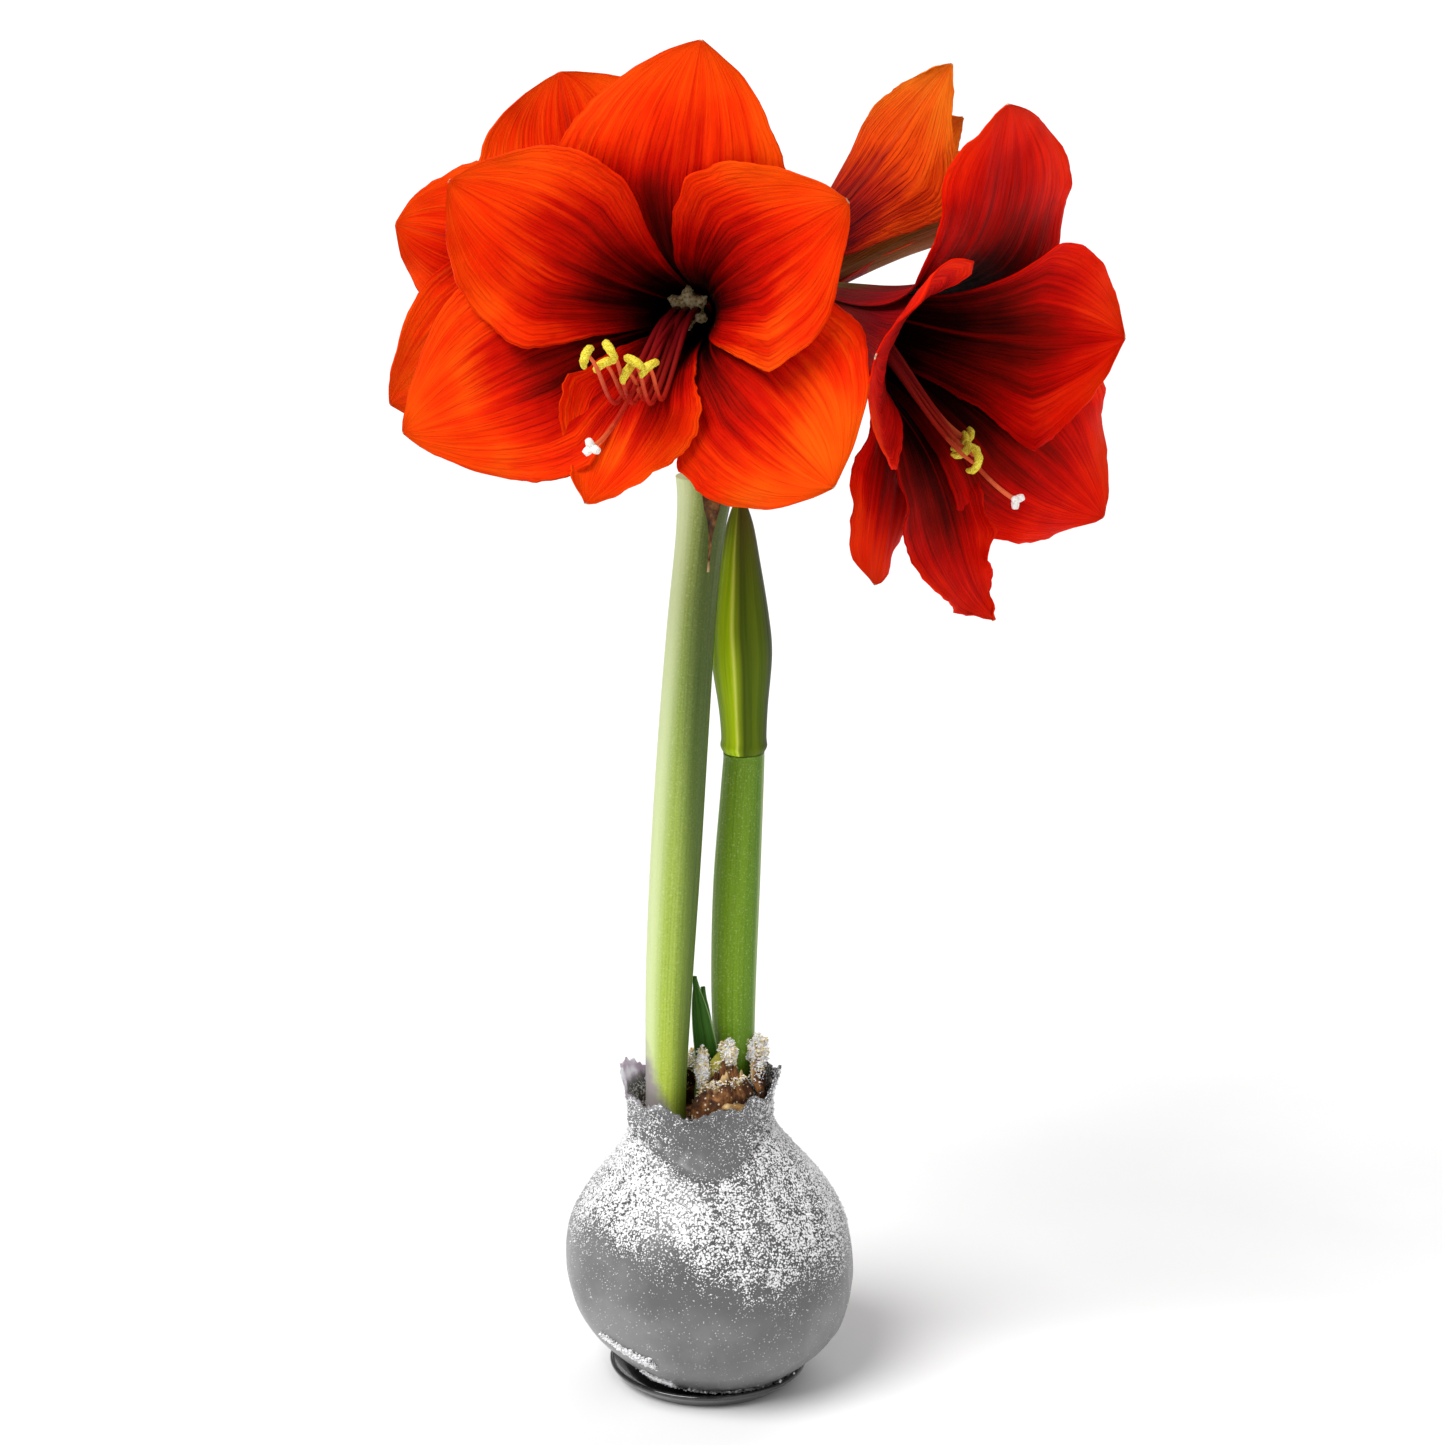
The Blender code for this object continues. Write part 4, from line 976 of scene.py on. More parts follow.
def lacquer_paint(looks):
    """Black gloss with faint dust and turning marks."""
    paint, tree, shader = new_paint("black_lacquer", 0.16, specular=0.55, coat=0.6)
    shader.inputs["Coat Roughness"].default_value = 0.06
    dust = cloud(tree, object_place(tree), 650.0, 4.0)
    colour = ramp(tree, dust, [(0.50, looks.dish_black), (0.80, (0.05, 0.05, 0.052))])
    set_colour(tree, shader, colour)
    tree.links.new(grade(tree, dust, 0.4, 0.8, 0.10, 0.30), shader.inputs["Roughness"])
    share = piece_place(tree)[2]
    rings = cloud(tree, combined(tree, 0.0, 0.0, times(tree, share, 60.0)), 1.0, 2.0)
    set_relief(tree, shader, rings, 0.05 * MM, 0.4)
    return paint


def filament_paint(looks):
    """Filaments and style: dark red in the throat, paler and more orange towards the tip."""
    paint, tree, shader = new_paint("filament_red", 0.45, specular=0.2)
    mottle = cloud(tree, object_place(tree), 500.0, 2.0)
    shifted = plus(tree, piece_place(tree)[2], times(tree, mottle, 0.1))
    colour = ramp(tree, shifted, [
        (0.05, (0.05, 0.001, 0.001)), (0.45, looks.filament_red), (0.85, (0.50, 0.022, 0.010)),
        (1.0, (0.85, 0.16, 0.05)),
    ])
    set_colour(tree, shader, colour)
    set_relief(tree, shader, mottle, 0.1 * MM, 0.5)
    let_light_through(tree, shader, colour, 0.1)
    return paint


def pollen_paint(looks):
    """Anthers: bright yellow with grainy pollen."""
    paint, tree, shader = new_paint("pollen_yellow", 0.78, specular=0.2)
    grains = cloud(tree, object_place(tree), 2600.0, 2.0)
    patches = cloud(tree, object_place(tree), 500.0, 2.0)
    colour = ramp(tree, grains, [
        (0.34, tinted(looks.pollen_yellow, 0.55)), (0.52, looks.pollen_yellow), (0.75, (0.95, 0.88, 0.25)),
    ])
    colour = mixed(tree, grade(tree, patches, 0.56, 0.70, 0.0, 0.6), colour, POLLEN_SHADE)
    set_colour(tree, shader, colour)
    set_relief(tree, shader, grains, 0.25 * MM, 1.0)
    return paint


def stigma_paint():
    """The stigma: white with a fine fuzz."""
    paint, tree, shader = new_paint("stigma_white", 0.6, specular=0.35)
    fuzz = cloud(tree, object_place(tree), 2200.0, 2.0)
    set_colour(tree, shader, ramp(tree, fuzz, [(0.3, (0.72, 0.62, 0.55)), (0.6, (0.95, 0.93, 0.90))]))
    set_relief(tree, shader, fuzz, 0.2 * MM, 0.9)
    return paint


def throat_star_paint():
    """The ragged scale round the filaments' feet: mottled tan and cream."""
    paint, tree, shader = new_paint("throat_star", 0.6, specular=0.3)
    mottle = cloud(tree, object_place(tree), 900.0, 3.0)
    set_colour(tree, shader, ramp(tree, mottle, [
        (0.34, (0.36, 0.20, 0.07)), (0.48, (0.80, 0.58, 0.27)), (0.64, (0.98, 0.88, 0.58)),
    ]))
    set_relief(tree, shader, mottle, 0.3 * MM, 0.9)
    return paint


def floor_paint(looks):
    """A plain pale studio floor with the faintest grain."""
    paint, tree, shader = new_paint("studio_floor", 0.75, specular=0.2)
    mottle = cloud(tree, object_place(tree), 9.0, 2.0)
    pale = [min(channel * 1.015, 1.0) for channel in looks.floor_colour]
    set_colour(tree, shader, ramp(tree, mottle, [(0.4, looks.floor_colour), (0.6, pale)]))
    return paint


def collar_bulge(angle, height):
    """How far the neck swells round the main scape's foot."""
    foot = Vector(MAIN_SCAPE[0][:3])
    towards = Vector((cos(angle), sin(angle))).angle(foot.xy)
    return 4.8 * MM * bump_at(towards, 0.0, 0.62) * smooth_step(height, COLLAR_FROM, 92.0 * MM)


def torn_edge(angle):
    """Height of the torn collar's edge over COLLAR_TOP, with a flap at each side."""
    left_flap = 8.4 * bump_at(angle, LEFT_FLAP, 0.26)
    right_flap = 3.4 * facing(angle, RIGHT_FLAP, 0.22)
    front_dip = -2.2 * bump_at(angle, EDGE_FRONT, 0.8)
    return (waves(angle, EDGE_WAVES) + left_flap + right_flap + front_dip) * MM


def wax_point(angle, radius, height):
    """A point on the wax coat's outside, before its fine relief."""
    swell = smooth_step(height, 8.0 * MM, 30.0 * MM)
    out = radius * (1.0 + waves(angle, BODY_WAVES) * swell) + collar_bulge(angle, height)
    torn = smooth_step(height, COLLAR_TOP - 7.0 * MM, COLLAR_TOP)
    raised = height + torn * torn_edge(angle)
    flare = torn * max(torn_edge(angle), 0.0) * 0.45
    sway = BULB_SWAY * (1.0 - smooth_step(height, 0.0, 60.0 * MM))
    sway -= NECK_SWAY * smooth_step(height, 60.0 * MM, 95.0 * MM)
    return Vector(((out + flare) * cos(angle) + sway, (out + flare) * sin(angle), raised))


def neck_fold(angle):
    """Height of the fold in the wax round the neck, lowest at the front."""
    return (95.5 - 13.3 * facing(angle, FOLD_FRONT, 0.40)) * MM


def wax_relief(angle, height):
    """Fine unevenness of the dipped wax, in metres outwards."""
    spot = Vector((60.0 * MM * cos(angle), 60.0 * MM * sin(angle), height))
    dipped = 0.45 * grain(spot, 24.0 * MM) + 0.16 * grain(spot, 7.0 * MM, 3.0)
    ridges = 0.22 * sin(34 * angle + 2.0 * sin(3 * angle)) * bump_at(height, 24.0 * MM, 16.0 * MM)
    runs = ridges * (0.35 + 0.65 * facing(angle, -0.6, 0.35))
    crumple = 0.55 * sin(13 * angle + 1.0) * grain(spot, 15.0 * MM, 5.0) + 0.5 * grain(spot, 4.0 * MM, 7.0)
    folds = smooth_step(height, 84.0 * MM, 98.0 * MM) * crumple
    folds += 1.1 * grain(spot, 5.0 * MM, 9.0) * smooth_step(height, COLLAR_TOP - 8.0 * MM, COLLAR_TOP)
    folds -= 1.7 * bump_at(height, neck_fold(angle), 1.3 * MM) * (0.8 + 0.6 * grain(spot, 12.0 * MM, 12.0))
    folds += 0.8 * bump_at(height, neck_fold(angle) + 3.2 * MM, 2.4 * MM)
    return (dipped + runs + folds) * MM


def snow_cover(angle, height):
    """Share of the wax that snow hides at a place: dense on the shoulders, bare at the front neck."""
    spot = Vector((50.0 * MM * cos(angle), 50.0 * MM * sin(angle), height))
    edge = 51.0 - 8.5 * cos(angle) + 7.0 * grain(spot, 14.0 * MM, 2.0) + 5.0 * grain(spot, 5.0 * MM, 4.0)
    edge -= 5.5 * bump_at(angle, radians(298), 0.42) + 5.0 * bump_at(angle, radians(196), 0.40)
    shoulders = smooth_step(height / MM, edge - 9.0, edge + 17.0)
    above_fold = smooth_step(height, neck_fold(angle) - 1.5 * MM, neck_fold(angle) + 2.5 * MM)
    bare = facing(angle, -pi / 2, 0.60) * above_fold
    patches = 0.69 + 0.22 * grain(spot, 9.0 * MM, 6.0) + 0.26 * grain(spot, 3.5 * MM, 8.0)
    heaped = 0.22 * bump_at(angle, SNOW_HEAP, 0.55) * bump_at(height, 78.0 * MM, 14.0 * MM)
    covered = shoulders * (patches * (1.0 - 0.72 * bare) + heaped * (1.0 - bare))
    strewn = 0.05 * smooth_step(height / MM, 4.0, 46.0)
    return min(max(covered, strewn), 1.0)


def make_foot_dish(looks):
    """The shallow turned dish with a rolled lip."""
    profile = [
        (0.0, DISH_WALL), (DISH_FLOOR_RADIUS - 1.0 * MM, DISH_WALL), (DISH_FLOOR_RADIUS, DISH_WALL * 1.05),
    ]
    for inwards, down in DISH_LIP:
        profile.append((DISH_RADIUS - inwards * DISH_WALL, DISH_HEIGHT - down * DISH_WALL))
    profile += [
        (DISH_FLOOR_RADIUS + 1.6 * DISH_WALL, 0.3 * MM), (DISH_FLOOR_RADIUS + 1.2 * DISH_WALL, 0.0),
        (0.0, 0.0),
    ]
    form = new_form()
    add_turned(form, profile, DISH_COLUMNS)
    piece = finish_piece(form, "dish", [lacquer_paint(looks)], ["foot_dish"], "black_lacquer")
    piece.data.set_sharp_from_angle(angle=radians(50))


def wax_surface():
    """Rows of points, angles and heights over the wax coat's outside."""
    rows = []
    for radius, height in curve_through(WAX_PROFILE, WAX_STEPS):
        row = []
        for column in range(WAX_COLUMNS):
            angle = 2 * pi * column / WAX_COLUMNS
            point = wax_point(angle, max(radius, 0.0) * MM, height * MM)
            away = point - wax_point(angle, 0.0, height * MM)
            away.z = 0.0
            if away.length > 1.0 * MM:
                point += away.normalized() * wax_relief(angle, height * MM)
            row.append((point, angle, height * MM))
        rows.append(row)
    return rows


def make_wax_coat(looks):
    """The dipped wax: a smooth coat with soft runs, a folded neck and a torn, thin edge."""
    form = new_form()
    layer = form.verts.layers.float_vector[PLACE_LAYER]
    cover = form.verts.layers.float.new(SNOW_LAYER)
    ragged = Random(NOTCH_SEED)
    notches = [ragged.uniform(-0.9, 0.9) * MM for column in range(WAX_COLUMNS)]
    rings = []
    for row in wax_surface()[1:]:
        ring = []
        for column, (point, angle, height) in enumerate(row):
            edge = smooth_step(height, COLLAR_TOP - 3.0 * MM, COLLAR_TOP)
            knot = form.verts.new(point + Vector((0.0, 0.0, edge * notches[column])))
            # Painted shade in and above the neck's fold, stored for the wax paint.
            painted_fold_shade = bump_at(height, neck_fold(angle), 1.7 * MM)
            painted_fold_shade += 0.55 * smooth_step(height - neck_fold(angle), 0.0, 4.0 * MM) * (1.0 - painted_fold_shade)
            painted_fold_shade *= bump_at(angle, EDGE_FRONT, 0.9)
            knot[layer] = (column / WAX_COLUMNS, height / COLLAR_TOP, painted_fold_shade)
            knot[cover] = snow_cover(angle, height)
            ring.append(knot)
        rings.append(ring)
    join_rings(form, rings)
    middle = form.verts.new(wax_point(0.0, 0.0, WAX_PROFILE[0][1] * MM))
    first = rings[0]
    for column in range(WAX_COLUMNS):
        form.faces.new((middle, first[(column + 1) % WAX_COLUMNS], first[column]))
    piece = finish_piece(form, "wax", [wax_paint(looks)], ["wax_coat"], "grey_wax", outward=False)
    body = piece.vertex_groups.new(name="body")
    for vertex in piece.data.vertices:
        thin = 0.85 * smooth_step(vertex.co.z, COLLAR_TOP - 9.0 * MM, COLLAR_TOP)
        body.add([vertex.index], 1.0 - thin, "REPLACE")
    shell = thicken(piece, WAX_THICK, "body")
    shell.offset = -1.0


def make_bulb():
    """The bulb in the wax, its torn papery scales, the live scale and the strip on the rim."""
    form = new_form()
    profile = []
    for radius, height in curve_through(WAX_PROFILE[:BULB_KNOTS], BULB_STEPS):
        raised = BULB_INSET if height < 10 else 0.0
        profile.append((max(radius - BULB_INSET, 0.0) * MM, (height + raised) * MM))
    top_radius, top_height = profile[-1]
    for share, rise in BULB_CROWN:
        profile.append((top_radius * share, top_height + rise * MM))
    shares = [column / BULB_COLUMNS for column in range(BULB_COLUMNS + 1)]
    turns = [2 * pi * column / BULB_COLUMNS for column in range(BULB_COLUMNS + 1)]
    points, places = [], []
    for radius, height in profile:
        row = [wax_point(turn, radius, height) for turn in turns]
        row[-1] = row[0].copy()
        points.append(row)
        places.append([(share, height / top_height * 0.7, 0.0) for share in shares])
    add_sheet(form, points, places)
    bmesh.ops.remove_doubles(form, verts=form.verts, dist=0.01 * MM)
    skin = papery_paint("bulb_skin", (0.020, 0.008, 0.003), (0.10, 0.034, 0.010), (0.34, 0.15, 0.045))
    finish_piece(form, "bulb_body", [skin], ["bulb"], "bulb_skin")
    for number, scale in enumerate(TORN_SCALES):
        make_torn_scale(number, scale, skin)
    make_inner_scale()
    make_rim_peel(papery_paint("rim_peel_skin", (0.08, 0.035, 0.010), (0.36, 0.20, 0.06), (0.74, 0.56, 0.28)))


def make_torn_scale(number, scale, skin):
    """One upright papery scale, crumpled, with a ragged and curling top."""
    root = CROWN_HEIGHT - SCALE_ROOT
    centre = millimetres((*scale.centre, 0.0))

    def spot(share, part):
        turn = radians(scale.start + (scale.stop - scale.start) * share)
        ends = 1.0 - 0.35 * abs(2.0 * share - 1.0) ** 3
        steps = share * 8.0
        ragged = 1.0 + 0.08 * sin(2.3 * steps) + 0.05 * sin(4.1 * steps + 1.0)
        ragged += 0.16 * noise.noise(Vector((share * 26.0, number * 7.0, 0.0))) * part
        height = root + part * (scale.top * MM - root) * ends * ragged
        out = scale.radius * MM * (1.0 + scale.lean * part)
        crumple = grain((out * cos(turn), out * sin(turn), height), 6.0 * MM, number * 3.0)
        out += scale.crumple * crumple * smooth_step(part, 0.1, 0.6) * MM
        out += (1.3 * sin(pi * part) - 2.6 * smooth_step(part, 0.62, 1.0)) * MM
        point = centre + Vector((out * cos(turn), out * sin(turn), height))
        return point, (share, part, number * 1.0)

    make_sheet(f"torn_scale_{number}", "bulb", "bulb_skin", skin, SCALE_THICK, TORN_SCALE_MESH, spot)


def make_rim_peel(paint):
    """A curled strip of dry skin caught on the wax's rim at the front right."""
    def spot(share, part):
        turn = radians(RIM_PEEL_FROM + RIM_PEEL_SPAN * share)
        away = Vector((cos(turn), sin(turn), 0.0))
        roll = radians(170) * (part - 0.5) + 0.9 * sin(4.0 * share)
        wide = (0.9 * sin(pi * (0.08 + 0.84 * share)) + 0.25 * sin(11.0 * share)) * MM
        rim = wax_point(turn, (WAX_PROFILE[-1][0] - 0.5) * MM, COLLAR_TOP)
        point = rim + away * (wide * cos(roll)) + Vector((0.0, 0.0, 0.4 * MM + wide * sin(roll)))
        return point, (share, part, 5.0)

    make_sheet("rim_peel", "bulb", "bulb_skin", paint, SCALE_THICK, RIM_PEEL_MESH, spot)


def make_inner_scale():
    """The olive-yellow live scale that shows under the leaves."""
    def spot(share, part):
        turn = radians(235 + 125 * share)
        height = (106.0 + 15.5 * part * (1.0 - 0.4 * abs(2 * share - 1) ** 2.0)) * MM
        out = (5.4 + 0.5 * part + 0.3 * sin(9 * share)) * MM
        return Vector((3.6 * MM + out * cos(turn), 0.4 * MM + out * sin(turn), height)), (share, part, 3.0)

    stops = [(0.0, (0.24, 0.22, 0.03)), (1.0, (0.36, 0.34, 0.04))]
    # The third value is the colour of the painted shade on one side.
    live = stalk_paint("live_scale", stops, (0.5, 0.45, 0.2))[0]
    make_sheet("live_scale", "bulb", "bulb_skin", live, 1.0 * MM, LIVE_SCALE_MESH, spot)


def add_grain(grains, spot, radius, dice):
    """One rough crystal, eight-sided and turned at random, added to lists of points and faces."""
    points, faces = grains
    turn = Matrix.Rotation(dice.uniform(0, 2 * pi), 3, "Z") @ Matrix.Rotation(dice.uniform(0, pi), 3, "X")
    long, wide, high = dice.uniform(0.8, 1.9), dice.uniform(0.6, 1.1), dice.uniform(0.5, 0.9)
    start = len(points)
    for corner in ((long, 0, 0), (-long, 0, 0), (0, wide, 0), (0, -wide, 0), (0, 0, high), (0, 0, -high)):
        points.append(spot + turn @ Vector(corner) * (radius * dice.uniform(0.6, 1.2)))
    for a in (0, 1):
        for b in (2, 3):
            for c in (4, 5):
                order = (a, b, c) if (a + b + c) % 2 == 0 else (a, c, b)
                faces.append([start + corner for corner in order])


def place_grains(grains, name, paint, cad_node, slot):
    """Makes one piece of gathered grains."""
    points, faces = grains
    mesh = bpy.data.meshes.new(name)
    mesh.from_pydata(points, [], faces)
    place_piece(mesh, name, [paint], [cad_node], slot)


def make_snow_on_wax(looks, paint):
    """Grains strewn on the wax, as densely as the cover says."""
    dice = Random(GRAIN_SEED)
    profile = curve_through(WAX_PROFILE, WAX_STEPS)
    grains = ([], [])
    wanted = looks.grain_count
    kept = tries = 0
    while kept < wanted and tries < 12 * wanted:
        tries += 1
        angle = dice.uniform(0, 2 * pi)
        index = dice.randrange(WAX_UNDERSIDE, len(profile) - 1)
        share = dice.random()
        radius, height = [a * (1 - share) + b * share for a, b in zip(profile[index], profile[index + 1])]
        height *= MM
        cover = snow_cover(angle, height)
        if dice.random() > radius / 50.0 or dice.random() > cover + 0.05:
            continue
        clump = Vector((angle * 40.0, height / MM, 3.0))
        lumpy = noise.noise(clump / 3.0) + 0.5 * noise.noise(clump / 1.2)
        if lumpy < 0.42 - 1.1 * cover - 0.6 * dice.random() ** 4:
            continue
        spot = wax_point(angle, radius * MM, height)
        away = spot - wax_point(angle, 0.0, height)
        away.z = 0.0
        spot += away.normalized() * (wax_relief(angle, height) + 0.12 * MM)
        spread = min(exp(dice.gauss(-0.12, 0.42)), 2.3)
        size = looks.grain_size * 0.5 * spread * (0.45 + 0.55 * smooth_step(cover, 0.1, 0.4))
        add_grain(grains, spot, size, dice)
        kept += 1
    place_grains(grains, "snow_on_wax", paint, "wax_coat", "grey_wax")


def on_lump(lump, way, out):
    """A point out from a lump's middle, in a way that is stretched as the lump is."""
    return millimetres(lump.centre) + millimetres([c * s * out for c, s in zip(way, lump.size)])


def make_lump_core(number, lump, paint):
    """The solid heart of one crusted lump."""
    bpy.ops.mesh.primitive_ico_sphere_add(subdivisions=5, radius=1.0)
    core = bpy.context.active_object.data
    bpy.data.objects.remove(bpy.context.active_object)
    for vertex in core.vertices:
        spot = vertex.co.copy()
        rough = 0.80 + 0.18 * grain(spot, 0.45, number) + 0.14 * grain(spot, 0.17, number + 2.0)
        rough += 0.10 * grain(spot, 0.08, number + 5.0)
        vertex.co = on_lump(lump, spot, rough)
    place_piece(core, f"snow_lump_{number}", [paint], ["bulb"], "bulb_skin")


def make_neck_snow(paint, crumbs):
    """Crusted lumps in the neck, and the grains and straw crumbs on them and on the torn scales."""
    dice = Random(LUMP_SEED)
    for number, lump in enumerate(SNOW_LUMPS):
        make_lump_core(number, lump, paint)
    white, straw = ([], []), ([], [])
    for lump in SNOW_LUMPS:
        for number in range(LUMP_GRAINS):
            way = Vector((dice.gauss(0, 1), dice.gauss(0, 1), dice.gauss(0, 1))).normalized()
            out = 0.80 + 0.28 * dice.random() + 0.30 * noise.noise(way * 2.2 + Vector(lump.centre))
            if noise.noise(way * 3.0 + Vector(lump.size)) + 0.5 * dice.random() > 0.18:
                add_grain(straw, on_lump(lump, way, out), dice.uniform(0.25, 0.5) * MM, dice)
            else:
                add_grain(white, on_lump(lump, way, out), dice.uniform(0.25, 0.6) * MM, dice)
    for scale in TORN_SCALES:
        for number in range(scale.crumbs):
            share = dice.random()
            turn = radians(scale.start + (scale.stop - scale.start) * share)
            height = (scale.top - dice.expovariate(scale.fall) - 6.0 * (2.0 * share - 1.0) ** 4) * MM
            if height < CROWN_HEIGHT:
                continue
            out = (scale.radius - 1.6 + dice.uniform(-1.4, scale.spill)) * MM
            spot = millimetres((*scale.centre, 0.0)) + Vector((out * cos(turn), out * sin(turn), height))
            grains = straw if dice.random() < scale.straw else white
            add_grain(grains, spot, dice.uniform(0.2, 0.5) * MM, dice)
    place_grains(white, "neck_snow", paint, "bulb", "bulb_skin")
    place_grains(straw, "neck_crumbs", crumbs, "bulb", "bulb_skin")


def make_dish_snow(paint):
    """Clumps of snow that slid down the wax to the dish's rim at the left front."""
    dice = Random(STREAK_SEED)
    grains = ([], [])
    for start, stop, low, high, count in SNOW_STREAKS:
        for number in range(count):
            share = dice.betavariate(2.2, 1.5)
            angle = radians(start + (stop - start) * share)
            height = (low + (high - low) * (1 - share) + dice.gauss(0, 0.3 + 0.8 * share)) * MM
            away = Vector((cos(angle), sin(angle), 0.0))
            spot = wax_point(angle, profile_radius(height), height) + away * dice.uniform(0.0, 1.6) * MM
            add_grain(grains, spot, dice.uniform(0.25, 0.55) * MM, dice)
    place_grains(grains, "dish_snow", paint, "foot_dish", "black_lacquer")


def profile_radius(height):
    """The wax coat's radius at a height, above its underside."""
    line = curve_through(WAX_PROFILE, WAX_STEPS)[WAX_UNDERSIDE + 1:]
    for (low_radius, low), (high_radius, high) in zip(line, line[1:]):
        if low * MM <= height <= high * MM:
            return (low_radius + (high_radius - low_radius) * (height / MM - low) / (high - low)) * MM
    return line[0][0] * MM


def make_young_leaf(number, leaf, paint):
    """One young leaf, folded about its rib."""
    root, tip = millimetres(leaf.root), millimetres(leaf.tip)
    face = Vector((cos(radians(leaf.turn)), sin(radians(leaf.turn)), 0.0))
    across = Vector((-face.y, face.x, 0.0))

    def spot(share, part):
        side = 2.0 * share - 1.0
        middle = root.lerp(tip, part) + face * (-1.2 * MM * sin(pi * part))
        half = 0.5 * leaf.width * MM * (1.0 - part ** 3.2) * (0.72 + 0.28 * smooth_step(part, 0.0, 0.4))
        half = max(half, LEAST_HALF_WIDTH)
        fold = 0.34 * half * side * side + 0.12 * MM * cos(9.0 * side)
        return middle + across * (half * side) - face * fold, (side, part, number * 2.0)

    make_sheet(f"young_leaf_{number}", "leaf_shoots", "young_leaf", paint, LEAF_THICK, LEAF_MESH, spot)


def make_leaf_shoots(looks):
    """Young leaves on a sheathing foot."""
    paint = leaf_paint(looks)
    form = new_form()
    path = curve_through(LEAF_FOOT, LEAF_FOOT_STEPS)
    add_sleeve(form, [millimetres(p[:3]) for p in path], [p[3] * MM for p in path], LEAF_FOOT_COLUMNS)
    finish_piece(form, "leaf_foot", [paint], ["leaf_shoots"], "young_leaf")
    for number, leaf in enumerate(LEAVES):
        make_young_leaf(number, leaf, paint)


def make_scapes(looks):
    """The two flower stalks, faintly ribbed and a little flattened, with painted shade and painted highlights
    in their skins.
    """
    def ribbed(turn, part):
        return 1.0 + 0.006 * sin(23 * turn) + 0.012 * cos(2 * turn + 0.6)

    bright = [(0.0, (0.10, 0.23, 0.003)), (0.35, looks.second_scape_green), (1.0, (0.15, 0.28, 0.012))]
    # The third value is the colour of the painted shade on the east side.
    green, tree, shader, colour = stalk_paint("second_stalk_skin", bright, (0.60, 0.72, 0.50))
    # Painted light: the short stalk's right edge is paled as a painted highlight.
    edge = grade(tree, piece_place(tree)[0], 0.80, 1.0, 0.0, 0.55)
    set_colour(tree, shader, mixed(tree, edge, colour, SECOND_STALK_PAINTED_LIGHT))
    stalks = [
        ("main_stalk", MAIN_SCAPE, main_stalk_paint(looks), "main_scape", "pale_scape"),
        ("second_stalk", SECOND_SCAPE, green, "second_scape", "green_scape"),
    ]
    for name, knots, paint, cad_node, slot in stalks:
        path = curve_through(knots, STALK_STEPS)
        radii = [p[3] * MM for p in path]
        form = new_form()
        add_sleeve(form, [millimetres(p[:3]) for p in path], radii, STALK_COLUMNS, ribbed)
        finish_piece(form, name, [paint], [cad_node], slot)


def make_closed_bud(looks):
    """The closed bud: two spathe valves that meet in a ridge, drawn out to a point."""
    def valves(turn, part):
        away = turn / (2 * pi) - BUD_RIDGE_TURN
        ridge = 0.06 * bump_at(away, 0.0, 0.03) * smooth_step(part, 0.04, 0.2)
        seam = -0.035 * bump_at(away, -0.11, 0.010) * smooth_step(part, 0.3, 0.6)
        oval = 0.03 * cos(2 * (turn - 2 * pi * BUD_RIDGE_TURN)) * smooth_step(part, 0.05, 0.3)
        return 1.0 + ridge + seam + oval

    path = curve_through(CLOSED_BUD, BUD_STEPS)
    form = new_form()
    radii = [max(p[3], 0.4) * MM * 0.96 for p in path]
    add_sleeve(form, [millimetres(p[:3]) for p in path], radii, BUD_COLUMNS, valves)
    finish_piece(form, "bud", [bud_paint(looks)], ["closed_bud"], "bud_green")


def make_bract(number, bract, paint):
    """One dried spathe valve, curled, twisted and crumpled."""
    start, end = millimetres(bract.top), millimetres(bract.bottom)
    face = Vector((*bract.out, 0.0)).normalized()
    across = Vector((-face.y, face.x, 0.0))

    def spot(share, part):
        side = 2.0 * share - 1.0
        middle = start.lerp(end, part) + face * (3.0 * MM * sin(pi * part) * (1 - part))
        half = 0.5 * bract.width * MM * (1.0 - 0.75 * part ** 1.5) * (1.0 + 0.15 * sin(9.0 * part))
        twist = 1.3 * smooth_step(part, 0.0, 0.6) + 0.5 * part
        curl = 0.16 * half * side * side + 0.8 * MM * sin(7.0 * part + 2.0 * side) * part
        wide = half * side
        point = middle + across * (wide * cos(twist)) + face * (wide * sin(twist) - curl)
        crumple = grain(point, 2.6 * MM, number * 4.0) * smooth_step(part, 0.0, 0.2)
        return point + face * (0.55 * MM * crumple), (side, part, number * 2.0)

    name = bract.name.replace("withered", "dried")
    make_sheet(name, bract.name, "dry_bract", paint, BRACT_THICK, BRACT_MESH, spot)


def make_withered_bracts():
    """The two dried spathe valves."""
    dark, middle, pale = (0.025, 0.010, 0.004), (0.12, 0.050, 0.014), (0.36, 0.17, 0.05)
    paint = papery_paint("dry_bract", dark, middle, pale, scale=1.3, flaked=0.0)
    for number, bract in enumerate(BRACTS):
        make_bract(number, bract, paint)


def bloom_axes(axis):
    """Unit vectors out of the mouth, up across it, and to the right as seen into the mouth."""
    forward = Vector(axis).normalized()
    up = (Vector((0.0, 0.0, 1.0)) - forward * forward.z).normalized()
    return forward, up, up.cross(forward)


def claw_arc(bloom, tepal):
    """The arc that a tepal's half may take up before it meets the next one of its whorl: a wide
    tepal gets the larger part of the arc between them."""
    arcs = []
    for other in bloom.tepals:
        if other.outer == tepal.outer and other != tepal:
            between = abs((other.angle - tepal.angle + 180) % 360 - 180)
            arcs.append(radians(between) * tepal.width / (tepal.width + other.width))
    return 2.0 * CLAW_SHARE * min(arcs)


